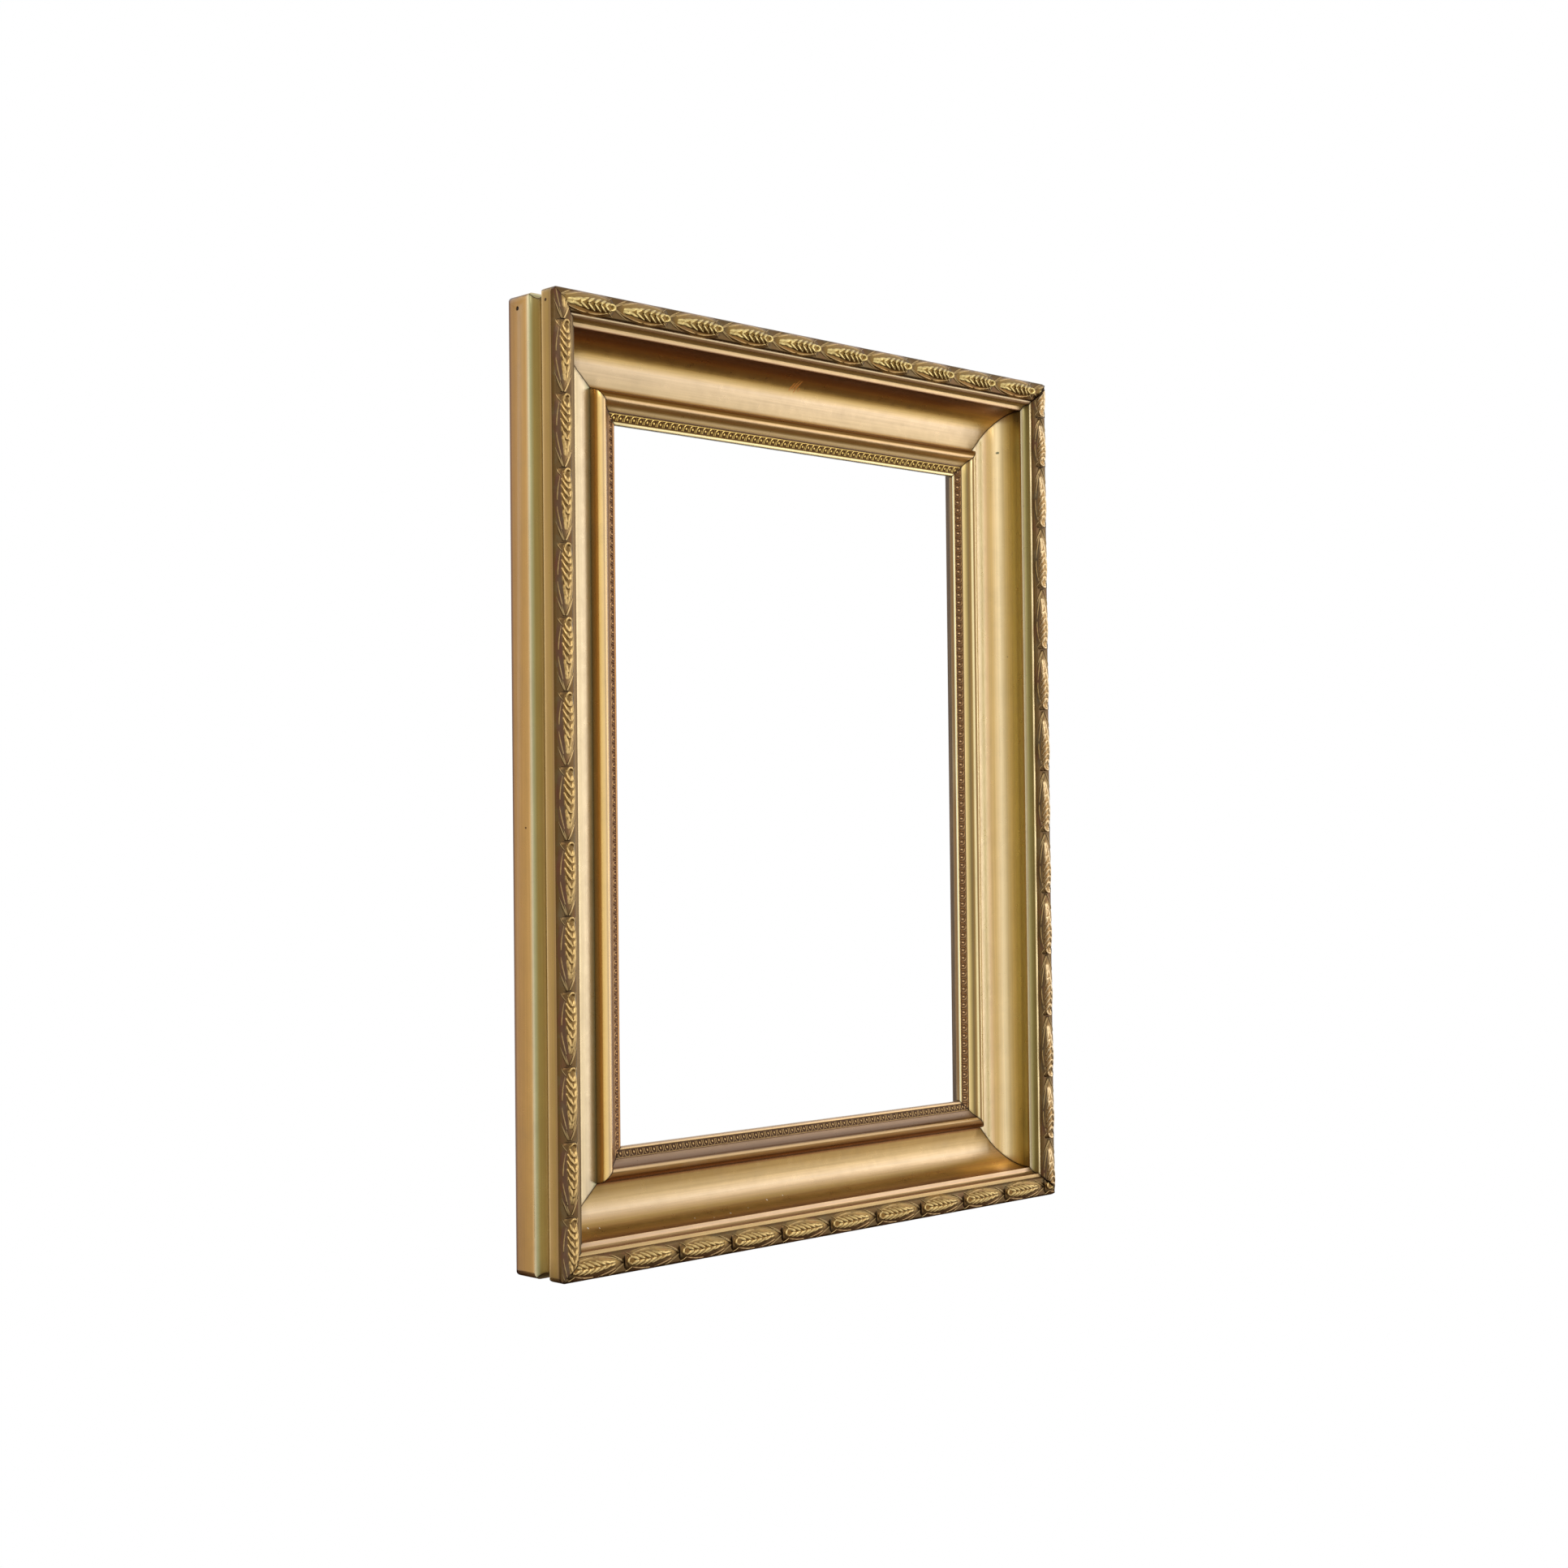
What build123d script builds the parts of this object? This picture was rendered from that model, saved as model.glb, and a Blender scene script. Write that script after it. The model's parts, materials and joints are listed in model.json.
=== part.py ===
from build123d import *
import math
import os

# An old gilded picture frame with a deep cove, upright and bare, as it hangs on a wall.
# Seen from the front, X runs to the right and Z up, and the wall is behind it at Y = 0.
# The origin is on the wall side of the top rail, half way along it, where the frame hangs.
#
# Each of the four sides is built up in the same five layers, all mitred at the corners:
#   the base rail, which is the outer band against the wall and carries the rest,
#   the cove rail, with the hollow in its side, two fillets and the deep cove,
#   the sight rail, with the round bead, a small hollow and the lip over the picture,
#   the wheat strip, pressed ornament along the front edge of the cove rail,
#   the egg strip, the small pressed course beside the lip.
# A section is drawn with u, the distance in from the outer edge, and d, the depth behind the
# front plane, on which the wheat strip is laid. Everything is in millimetres.

# Overall sizes
sight_width = 320.0
sight_height = 450.0
hanging_inset = 35.0

# Cove rail, back along its outer side and then inwards across its front
side_fillet_depth = 10.3
side_fillet_round = 2.3
channel_quirk = 1.0
channel_hollow = 4.3
channel_height = 11.6
wheat_width = 14.4
front_fillet_width = 2.4
front_fillet_rise = 0.4
groove_quirk = 0.9
groove_width = 1.6
cove_fillet_width = 2.9
cove_fillet_depth = 4.4
cove_wall = 2.0
cove_radius = 19.7
cove_floor_width = 10.1
cove_floor_rise = 0.4
# The groove's hollow passes this far across it and down it
groove_middle_shares = (0.16, 0.64)

# Sight rail, inwards from the cove's floor
bead_foot_rise = 2.7
bead_foot_slope = 0.6
bead_height = 6.9
bead_outer_width = 4.5
bead_inner_width = 3.8
bead_inner_drop = 2.4
# How far the bead's two arcs stand off their chords
bead_outer_share = 0.17
bead_inner_share = 0.18
hollow_width = 5.1
hollow_drop = 2.8
hollow_sag = 0.45
egg_width = 5.1
egg_bed_drop = 0.9
egg_bed_slope = 2.1
egg_edge = 0.6
egg_rise = 1.5
lip_width = 1.6
lip_slope = 0.5
lip_height = 3.5

# Base rail
band_step = 18.0
back_round = 1.2
rabbet_width = 8.8
rabbet_depth = 10.8
# The rabbet is planed this far into the back of the sight rail, which leaves the picture its seat
seat_cut = 0.4

# Wheat strip
wheat_pitch = 44.55
wheat_base_rise = 4.0
leaf_radius = 6.1
ear_radius = 3.5
ear_axis_rise = 2.9
ear_lead = 0.8
# How far across the strip the leaf and the ear lie, and how much of the pitch each takes
leaf_axis_share = 0.49
ear_axis_share = 0.6
leaf_length_share = 0.94
ear_length_share = 0.63
# Distance of the first ear from the corner that it starts at, one for each side
wheat_first = {"left": 19.7, "bottom": 4.2, "right": -3.2, "top": 15.7}

# Corner keys and nails
key_length = 40.0
key_end_width = 16.0
key_waist_width = 9.0
# How much of the rabbet's depth a key is let into
key_depth_share = 0.64
nail_radius = 0.8
nail_length = 26.0
nail_head_radius = 1.3
nail_head_height = 1.2
nail_head_sink = 0.6
nail_corner_inset = 8.7

# The frame's four outer corners are worn round, more so behind than in front
band_corner_round = 4.5
front_corner_round = 2.5
# How far in from both edges the middle of the round lies, a little flatter than a quarter circle
corner_middle_share = 0.31

fit_gap = 0.05
overrun = 5.0

# Places across and down the section, each worked out from the one before it
band_front = side_fillet_depth + channel_quirk + channel_height
cove_start = wheat_width + front_fillet_width + groove_width + cove_fillet_width
cove_centre = (cove_start + cove_radius, cove_fillet_depth + cove_wall)
cove_bottom = cove_centre[1] + cove_radius
bead_foot = (cove_centre[0] + cove_floor_width, cove_bottom - cove_floor_rise)
bead_shoulder = (bead_foot[0] + bead_foot_slope, bead_foot[1] - bead_foot_rise)
bead_crown = (bead_shoulder[0] + bead_outer_width, bead_foot[1] - bead_height)
bead_inner = (bead_crown[0] + bead_inner_width, bead_crown[1] + bead_inner_drop)
hollow_end = (bead_inner[0] + hollow_width, bead_inner[1] + hollow_drop)
egg_start = (hollow_end[0], hollow_end[1] + egg_bed_drop)
egg_end = (egg_start[0] + egg_width, egg_start[1] + egg_bed_slope)
lip_start = (egg_end[0], egg_end[1] - egg_edge)
lip_end = (lip_start[0] + lip_width, lip_start[1] + lip_slope)
bed_depth = lip_end[1] + lip_height
seat_depth = bed_depth - seat_cut
member_width = lip_end[0]
rabbet_edge = member_width - rabbet_width
total_depth = bed_depth + rabbet_depth
outer_width = sight_width + 2 * member_width
outer_height = sight_height + 2 * member_width

key_thickness = rabbet_depth * key_depth_share
key_corner_inset = member_width / 2
band_nail_depth = (band_front + total_depth) / 2
moulding_nail_depth = side_fillet_depth / 2

sides = ("top", "right", "bottom", "left")
side_lengths = {"top": outer_width, "right": outer_height, "bottom": outer_width, "left": outer_height}


def side_location(side):
    # Places a side that is drawn along +Z from its first corner, with X as u and Y as d
    half_width = outer_width / 2
    top = hanging_inset
    bottom = hanging_inset - outer_height
    corners = {
        "top": Plane(origin=(-half_width, -total_depth, top), x_dir=(0, 0, -1), z_dir=(1, 0, 0)),
        "right": Plane(origin=(half_width, -total_depth, top), x_dir=(-1, 0, 0), z_dir=(0, 0, -1)),
        "bottom": Plane(origin=(half_width, -total_depth, bottom), x_dir=(0, 0, 1), z_dir=(-1, 0, 0)),
        "left": Plane(origin=(-half_width, -total_depth, bottom), x_dir=(1, 0, 0), z_dir=(0, 0, 1)),
    }
    return corners[side].location


def mitre_block(length):
    # The wedge-ended space of one side, between its two mitres
    reach = member_width + overrun
    outline = Polyline((-overrun, -overrun), (reach, reach), (reach, length - reach), (-overrun, length + overrun),
                       close=True)
    face = make_face(outline)
    block = extrude(face, total_depth + 2 * leaf_radius + 2 * overrun)
    turned = Plane(origin=(0, total_depth + overrun, 0), x_dir=(1, 0, 0), z_dir=(0, -1, 0)).location
    # The outline's second direction runs along the side
    return turned * block


def mitred(section, length):
    bar = extrude(section, length)
    return bar & mitre_block(length)


def cove_section():
    fillet_start = wheat_width
    fillet_end = fillet_start + front_fillet_width
    groove_end = fillet_end + groove_width
    diagonal = math.sqrt(0.5)
    channel_start = side_fillet_depth + channel_quirk
    groove_top = groove_quirk - front_fillet_rise
    groove_middle = (
        fillet_end + groove_width * groove_middle_shares[0],
        groove_top + (cove_fillet_depth - groove_top) * groove_middle_shares[1],
    )
    with BuildLine() as outline:
        Polyline(
            (0, side_fillet_depth - side_fillet_round),
            (0, 0),
            (fillet_start, 0),
            (fillet_start, -front_fillet_rise),
            (fillet_end, -front_fillet_rise),
            (fillet_end, groove_top),
        )
        ThreePointArc((fillet_end, groove_top), groove_middle, (groove_end, cove_fillet_depth))
        Polyline((groove_end, cove_fillet_depth), (cove_start, cove_fillet_depth), (cove_start, cove_centre[1]))
        ThreePointArc(
            (cove_start, cove_centre[1]),
            (cove_centre[0] - cove_radius * diagonal, cove_centre[1] + cove_radius * diagonal),
            (cove_centre[0], cove_bottom),
        )
        Polyline(
            (cove_centre[0], cove_bottom),
            bead_foot,
            (bead_foot[0], bed_depth),
            (band_step, bed_depth),
            (band_step, band_front),
            (0, band_front),
        )
        ThreePointArc(
            (0, band_front),
            (channel_hollow, (band_front + channel_start) / 2),
            (side_fillet_round, channel_start),
        )
        Line((side_fillet_round, channel_start), (side_fillet_round, side_fillet_depth))
        ThreePointArc(
            (side_fillet_round, side_fillet_depth),
            (side_fillet_round * (1 - diagonal), side_fillet_depth - side_fillet_round * (1 - diagonal)),
            (0, side_fillet_depth - side_fillet_round),
        )
    return make_face(outline.line)


def arc_through(start, end, bulge):
    # An arc from start to end, whose middle stands off the chord by bulge, to its left
    run = (end[0] - start[0], end[1] - start[1])
    length = math.hypot(run[0], run[1])
    middle = (
        (start[0] + end[0]) / 2 + run[1] / length * bulge,
        (start[1] + end[1]) / 2 - run[0] / length * bulge,
    )
    return ThreePointArc(start, middle, end)


def bow(start, end, share):
    return share * math.hypot(end[0] - start[0], end[1] - start[1])


def sight_section():
    with BuildLine() as outline:
        Line(bead_foot, bead_shoulder)
        arc_through(bead_shoulder, bead_crown, bow(bead_shoulder, bead_crown, bead_outer_share))
        arc_through(bead_crown, bead_inner, bow(bead_crown, bead_inner, bead_inner_share))
        arc_through(bead_inner, hollow_end, -hollow_sag)
        Polyline(hollow_end, egg_start, egg_end, lip_start, lip_end, (member_width, seat_depth),
                 (rabbet_edge, seat_depth), (rabbet_edge, bed_depth), (bead_foot[0], bed_depth), bead_foot)
    return make_face(outline.line)


def egg_section():
    outer_top = (egg_start[0], egg_start[1] - egg_edge)
    with BuildLine() as outline:
        Polyline(outer_top, egg_start, egg_end, lip_start)
        arc_through(outer_top, lip_start, egg_rise - egg_edge)
    return make_face(outline.line)


def base_section():
    diagonal = math.sqrt(0.5)
    with BuildLine() as outline:
        Polyline(
            (0, total_depth - back_round),
            (0, band_front),
            (band_step, band_front),
            (band_step, bed_depth),
            (rabbet_edge, bed_depth),
            (rabbet_edge, total_depth),
            (back_round, total_depth),
        )
        ThreePointArc(
            (back_round, total_depth),
            (back_round * (1 - diagonal), total_depth - back_round * (1 - diagonal)),
            (0, total_depth - back_round),
        )
    return make_face(outline.line)


def wheat_base_section():
    with BuildLine() as outline:
        Line((wheat_width, 0), (0, 0))
        ThreePointArc((0, 0), (wheat_width / 2, -wheat_base_rise), (wheat_width, 0))
    return make_face(outline.line)


def spindle(length, radius, across, depth, start):
    # A pointed round body along the side, from start towards the side's first corner
    with BuildLine() as outline:
        Line((0, 0), (0, -length))
        ThreePointArc((0, -length), (radius, -length / 2), (0, 0))
    half_outline = make_face(outline.line)
    body = revolve(half_outline, Axis.Y)
    upright = Plane(origin=(wheat_width * across, depth, start), x_dir=(1, 0, 0), z_dir=(0, -1, 0)).location
    return upright * body


def wheat_strip(side):
    length = side_lengths[side]
    leaf_length = wheat_pitch * leaf_length_share
    ear_length = wheat_pitch * ear_length_share
    strip = extrude(wheat_base_section(), length)
    start = length - wheat_first[side]
    bodies = []
    while start > 0:
        bodies.append(spindle(leaf_length, leaf_radius, leaf_axis_share, 0, start))
        bodies.append(spindle(ear_length, ear_radius, ear_axis_share, -ear_axis_rise, start - ear_lead))
        start -= wheat_pitch
    full = strip.fuse(*bodies)
    return full & mitre_block(length) & front_space(length)


def front_space(length):
    # The space in front of the wheat strip's bed
    depth = leaf_radius + overrun
    return Location((wheat_width / 2, -depth / 2, length / 2)) * Box(wheat_width, depth, length + 2 * overrun)


def key_outline(grow):
    half = key_length / 2 + grow
    end = key_end_width / 2 + grow
    waist = key_waist_width / 2 + grow
    return make_face(Polyline((-half, -end), (0, -waist), (half, -end), (half, end), (0, waist), (-half, end),
                              close=True))


def corner_signs():
    return {"top_left": (-1, 1), "top_right": (1, 1), "bottom_left": (-1, -1), "bottom_right": (1, -1)}


def corner_place(corner, inset):
    across, up = corner_signs()[corner]
    middle_height = hanging_inset - outer_height / 2
    return (across * (outer_width / 2 - inset), middle_height + up * (outer_height / 2 - inset))


def corner_key(corner, grow=0.0, extra=0.0):
    # A double dovetail let into the wall side across the mitre
    across, up = corner_signs()[corner]
    place = corner_place(corner, key_corner_inset)
    body = extrude(key_outline(grow), key_thickness + grow + extra)
    plane = Plane(origin=(place[0], extra, place[1]), x_dir=(across, 0, -up), z_dir=(0, -1, 0))
    return plane.location * body


def nail(corner, depth, grow=0.0, extra=0.0):
    # Driven across the mitre: from the stile's side at the top corners, from below at the bottom ones
    across, up = corner_signs()[corner]
    corner_point = corner_place(corner, 0)
    place = corner_place(corner, nail_corner_inset)
    if up > 0:
        origin = (corner_point[0], depth - total_depth, place[1])
        direction = (-across, 0, 0)
    else:
        origin = (place[0], depth - total_depth, corner_point[1])
        direction = (0, 0, 1)
    head_top = nail_head_sink - extra
    head = Location((0, 0, head_top)) * Cylinder(
        nail_head_radius + grow, nail_head_height + extra + grow, align=(Align.CENTER, Align.CENTER, Align.MIN))
    shank = Location((0, 0, nail_head_sink)) * Cylinder(
        nail_radius + grow, nail_length + grow, align=(Align.CENTER, Align.CENTER, Align.MIN))
    return Plane(origin=origin, z_dir=direction).location * (head + shank)


def corner_waste(corner, radius):
    # What is worn off one outer corner, through the frame's whole depth
    across, up = corner_signs()[corner]
    point = corner_place(corner, 0)
    bend = radius * corner_middle_share
    with BuildLine() as outline:
        Polyline((0, radius), (-overrun, radius), (-overrun, -overrun), (radius, -overrun), (radius, 0))
        ThreePointArc((radius, 0), (bend, bend), (0, radius))
    face = make_face(outline.line)
    plane = Plane(origin=(point[0], -total_depth / 2, point[1]), x_dir=(-across, 0, 0), z_dir=(0, -across * up, 0))
    return plane.location * extrude(face, total_depth, both=True)


def save(shape, name):
    solids = shape.solids()
    shape = solids[0] if len(solids) == 1 else Compound(children=list(solids))
    shape.label = name
    export_step(shape, "parts/" + name + ".step")
    print(name, len(solids), "solids", round(sum(s.volume for s in solids)))


def build():
    os.makedirs("parts", exist_ok=True)
    corners = list(corner_signs())
    touching = {
        "top": ("top_left", "top_right"),
        "right": ("top_right", "bottom_right"),
        "bottom": ("bottom_left", "bottom_right"),
        "left": ("top_left", "bottom_left"),
    }
    for side in sides:
        length = side_lengths[side]
        place = side_location(side)
        base = place * mitred(base_section(), length)
        cove = place * mitred(cove_section(), length)
        wheat = place * wheat_strip(side)
        for corner in touching[side]:
            base = base - corner_waste(corner, band_corner_round)
            cove = cove - corner_waste(corner, front_corner_round)
            wheat = wheat - corner_waste(corner, front_corner_round)
            base = base - corner_key(corner, fit_gap, overrun)
            base = base - nail(corner, band_nail_depth, fit_gap, overrun)
            cove = cove - nail(corner, moulding_nail_depth, fit_gap, overrun)
        save(base, "base_rail_" + side)
        save(cove, "cove_rail_" + side)
        save(place * mitred(sight_section(), length), "sight_rail_" + side)
        save(place * mitred(egg_section(), length), "egg_strip_" + side)
        save(wheat, "wheat_strip_" + side)
    for corner in corners:
        save(corner_key(corner), "corner_key_" + corner)
    save(Compound(children=[nail(corner, band_nail_depth) for corner in corners]), "band_nails")
    save(Compound(children=[nail(corner, moulding_nail_depth) for corner in corners]), "moulding_nails")


build()
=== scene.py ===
import json
import math
import random

import bmesh
import bpy
from mathutils import Matrix, Vector

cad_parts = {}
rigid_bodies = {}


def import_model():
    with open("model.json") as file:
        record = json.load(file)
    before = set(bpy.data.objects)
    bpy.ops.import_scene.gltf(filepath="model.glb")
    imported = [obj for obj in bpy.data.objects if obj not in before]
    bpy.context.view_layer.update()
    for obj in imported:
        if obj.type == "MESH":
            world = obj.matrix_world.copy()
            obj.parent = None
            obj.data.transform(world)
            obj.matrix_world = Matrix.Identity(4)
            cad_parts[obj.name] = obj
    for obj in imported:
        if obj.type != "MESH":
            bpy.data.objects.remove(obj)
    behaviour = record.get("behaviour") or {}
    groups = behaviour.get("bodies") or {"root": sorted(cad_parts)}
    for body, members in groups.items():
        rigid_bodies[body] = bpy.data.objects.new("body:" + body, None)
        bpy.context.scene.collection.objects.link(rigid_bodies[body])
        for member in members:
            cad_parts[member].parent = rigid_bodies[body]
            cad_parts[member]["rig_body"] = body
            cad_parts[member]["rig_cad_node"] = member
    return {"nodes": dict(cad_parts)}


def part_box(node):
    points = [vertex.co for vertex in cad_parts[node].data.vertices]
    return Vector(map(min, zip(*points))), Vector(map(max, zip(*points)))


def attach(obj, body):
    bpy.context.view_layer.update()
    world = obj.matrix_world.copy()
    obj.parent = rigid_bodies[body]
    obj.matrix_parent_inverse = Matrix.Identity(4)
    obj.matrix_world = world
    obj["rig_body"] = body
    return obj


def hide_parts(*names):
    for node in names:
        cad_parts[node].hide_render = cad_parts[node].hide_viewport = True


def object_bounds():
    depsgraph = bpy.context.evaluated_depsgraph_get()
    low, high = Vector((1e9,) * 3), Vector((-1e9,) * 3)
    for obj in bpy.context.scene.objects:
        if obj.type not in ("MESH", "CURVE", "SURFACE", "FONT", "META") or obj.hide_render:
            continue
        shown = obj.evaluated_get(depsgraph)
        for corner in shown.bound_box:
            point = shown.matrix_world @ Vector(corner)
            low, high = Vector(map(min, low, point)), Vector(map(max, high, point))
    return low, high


# Old gilded picture frame: deep cove, round inner bead, wheat ears along the front edge.
# Each side is modelled lying along X, as the top one does, then turned into its place.
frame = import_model()
cadLow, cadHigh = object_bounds()
print("frame loaded")

mm = 0.001
quarterTurn = math.radians(90)
middle = (cadLow + cadHigh) / 2
frameWidth = (cadHigh.x - cadLow.x) / mm
frameHeight = (cadHigh.z - cadLow.z) / mm
wheatLow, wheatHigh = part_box("wheat_strip_left")
frontPlane = wheatHigh.y          # the plane that the ornament is laid on
totalDepth = (cadHigh.y - frontPlane) / mm

sides = {
    "top": {"angle": 0, "length": frameWidth, "reach": frameHeight / 2},
    "right": {"angle": 90, "length": frameHeight, "reach": frameWidth / 2},
    "bottom": {"angle": 180, "length": frameWidth, "reach": frameHeight / 2},
    "left": {"angle": -90, "length": frameHeight, "reach": frameWidth / 2},
}


def clearSelection():
    if bpy.context.object and bpy.context.object.mode != "OBJECT":
        bpy.ops.object.mode_set(mode="OBJECT")
    bpy.ops.object.select_all(action="DESELECT")


def pickOnly(piece):
    clearSelection()
    piece.select_set(True)
    bpy.context.view_layer.objects.active = piece


def pickVerts(piece, wanted):
    # leaves edit mode on, with just the wanted vertices selected
    bpy.ops.object.mode_set(mode="EDIT")
    bpy.ops.mesh.select_mode(type="VERT")
    mesh = bmesh.from_edit_mesh(piece.data)
    for v in mesh.verts:
        v.select_set(wanted(v.co))
    mesh.select_flush_mode()
    bmesh.update_edit_mesh(piece.data)


def applyModifier(piece, kind, **settings):
    pickOnly(piece)
    modifier = piece.modifiers.new(kind.lower(), kind)
    for key, value in settings.items():
        setattr(modifier, key, value)
    bpy.ops.object.modifier_apply(modifier=modifier.name)


def joinPieces(pieces, name):
    clearSelection()
    for piece in pieces:
        piece.select_set(True)
    bpy.context.view_layer.objects.active = pieces[0]
    bpy.ops.object.join()
    pieces[0].name = name
    return pieces[0]


def bakePlace(piece):
    pickOnly(piece)
    bpy.ops.object.transform_apply(location=True, rotation=True, scale=True)


# Section: u is the distance in from the outer edge and d the depth behind the front plane, in mm
section = {
    "sideFilletDepth": 10.3, "sideFilletRound": 2.3, "channelQuirk": 1.0, "channelHollow": 4.3,
    "wheatWidth": 14.4, "filletWidth": 2.4, "filletRise": 0.4, "grooveQuirk": 0.9, "grooveWidth": 1.6,
    "grooveMiddle": (0.16, 0.64), "coveFilletWidth": 2.9, "coveFilletDepth": 4.4, "coveWall": 2.0,
    "coveRadius": 19.7, "coveFloorWidth": 10.1, "coveFloorRise": 0.4, "bandStep": 18.0, "bandFront": 22.9,
    "bedDepth": 30.4, "footRise": 2.7, "footSlope": 0.6, "beadHeight": 6.9, "beadOuter": 4.5,
    "beadInner": 3.8, "beadDrop": 2.4, "beadOuterBow": 0.17, "beadInnerBow": 0.18, "hollowWidth": 5.1,
    "hollowDrop": 2.8, "hollowSag": 0.45, "eggWidth": 5.1, "eggDrop": 0.9, "eggSlope": 2.1, "eggEdge": 0.6,
    "lipWidth": 1.6, "lipSlope": 0.5, "rabbetWidth": 8.8, "seatCut": 0.4,
    "wheatRise": 2.2, "overrun": 12, "step": 14, "cornerRound": 4.4, "cornerTurns": (15, 30, 45),
}


def arcPoints(start, through, end, count):
    # points of the circle through three points, the start left out
    ax, ay = start
    bx, by = through
    cx, cy = end
    twice = 2 * (ax * (by - cy) + bx * (cy - ay) + cx * (ay - by))
    sa, sb, sc = ax * ax + ay * ay, bx * bx + by * by, cx * cx + cy * cy
    ox = (sa * (by - cy) + sb * (cy - ay) + sc * (ay - by)) / twice
    oy = (sa * (cx - bx) + sb * (ax - cx) + sc * (bx - ax)) / twice
    radius = math.hypot(ax - ox, ay - oy)
    first = math.atan2(ay - oy, ax - ox)
    mid = (math.atan2(by - oy, bx - ox) - first) % (2 * math.pi)
    last = (math.atan2(cy - oy, cx - ox) - first) % (2 * math.pi)
    sweep = last if mid < last else last - 2 * math.pi
    turns = [first + sweep * i / count for i in range(1, count + 1)]
    return [(ox + radius * math.cos(turn), oy + radius * math.sin(turn)) for turn in turns]


def bowedPoints(start, end, bulge, count):
    # an arc whose middle stands off the straight line by bulge, to its left
    run = (end[0] - start[0], end[1] - start[1])
    length = math.hypot(*run)
    through = ((start[0] + end[0]) / 2 + run[1] / length * bulge,
               (start[1] + end[1]) / 2 - run[0] / length * bulge)
    return arcPoints(start, through, end, count)


def sectionPlaces():
    # the points where one moulding meets the next
    v = section
    at = {}
    at["filletStart"] = v["wheatWidth"]
    at["filletEnd"] = at["filletStart"] + v["filletWidth"]
    at["grooveEnd"] = at["filletEnd"] + v["grooveWidth"]
    at["coveStart"] = at["grooveEnd"] + v["coveFilletWidth"]
    at["coveMiddle"] = (at["coveStart"] + v["coveRadius"], v["coveFilletDepth"] + v["coveWall"])
    at["foot"] = (at["coveMiddle"][0] + v["coveFloorWidth"],
                  at["coveMiddle"][1] + v["coveRadius"] - v["coveFloorRise"])
    at["shoulder"] = (at["foot"][0] + v["footSlope"], at["foot"][1] - v["footRise"])
    at["crown"] = (at["shoulder"][0] + v["beadOuter"], at["foot"][1] - v["beadHeight"])
    at["inner"] = (at["crown"][0] + v["beadInner"], at["crown"][1] + v["beadDrop"])
    at["hollowEnd"] = (at["inner"][0] + v["hollowWidth"], at["inner"][1] + v["hollowDrop"])
    at["eggStart"] = (at["hollowEnd"][0], at["hollowEnd"][1] + v["eggDrop"])
    at["eggEnd"] = (at["eggStart"][0] + v["eggWidth"], at["eggStart"][1] + v["eggSlope"])
    at["lipStart"] = (at["eggEnd"][0], at["eggEnd"][1] - v["eggEdge"])
    at["lipEnd"] = (at["lipStart"][0] + v["lipWidth"], at["lipStart"][1] + v["lipSlope"])
    return at


at = sectionPlaces()


def coveOutline():
    v = section
    middleU, middleD = at["coveMiddle"]
    diagonal = v["coveRadius"] * math.sqrt(0.5)
    channelStart = v["sideFilletDepth"] + v["channelQuirk"]
    grooveTop = v["grooveQuirk"] - v["filletRise"]
    shareU, shareD = v["grooveMiddle"]
    grooveThrough = (at["filletEnd"] + v["grooveWidth"] * shareU,
                     grooveTop + (v["coveFilletDepth"] - grooveTop) * shareD)
    rounding = v["sideFilletRound"]
    points = [(0, v["sideFilletDepth"] - rounding), (0, 0), (at["filletStart"], 0),
              (at["filletStart"], -v["filletRise"]), (at["filletEnd"], -v["filletRise"]),
              (at["filletEnd"], grooveTop)]
    points += arcPoints(points[-1], grooveThrough, (at["grooveEnd"], v["coveFilletDepth"]), 8)
    points += [(at["coveStart"], v["coveFilletDepth"]), (at["coveStart"], middleD)]
    points += arcPoints(points[-1], (middleU - diagonal, middleD + diagonal),
                        (middleU, middleD + v["coveRadius"]), 36)
    points += [at["foot"], (at["foot"][0], v["bedDepth"]), (v["bandStep"], v["bedDepth"]),
               (v["bandStep"], v["bandFront"]), (0, v["bandFront"])]
    points += arcPoints(points[-1], (v["channelHollow"], (v["bandFront"] + channelStart) / 2),
                        (rounding, channelStart), 16)
    points.append((rounding, v["sideFilletDepth"]))
    inset = rounding * (1 - math.sqrt(0.5))
    backPoint = (inset, v["sideFilletDepth"] - inset)
    points += arcPoints(points[-1], backPoint, points[0], 8)[:-1]
    return points


def sightOutline():
    v = section
    outer = v["beadOuterBow"] * math.dist(at["shoulder"], at["crown"])
    inner = v["beadInnerBow"] * math.dist(at["crown"], at["inner"])
    seat = v["bedDepth"] - v["seatCut"]
    rabbet = at["lipEnd"][0] - v["rabbetWidth"]
    points = [at["foot"], at["shoulder"]]
    points += bowedPoints(at["shoulder"], at["crown"], outer, 10)
    points += bowedPoints(at["crown"], at["inner"], inner, 10)
    points += bowedPoints(at["inner"], at["hollowEnd"], -v["hollowSag"], 8)
    points += [at["eggStart"], at["eggEnd"], at["lipStart"], at["lipEnd"], (at["lipEnd"][0], seat),
               (rabbet, seat), (rabbet, v["bedDepth"]), (at["foot"][0], v["bedDepth"])]
    return points


def wheatBedOutline():
    # a flat bed with rounded shoulders
    width, rise = section["wheatWidth"], section["wheatRise"]
    lean = rise * math.sqrt(0.5)
    points = [(width, 0), (0, 0)]
    points += arcPoints((0, 0), (rise - lean, -lean), (rise, -rise), 6)
    points.append((width - rise, -rise))
    return points + arcPoints(points[-1], (width - rise + lean, -lean), (width, 0), 6)[:-1]


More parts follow.
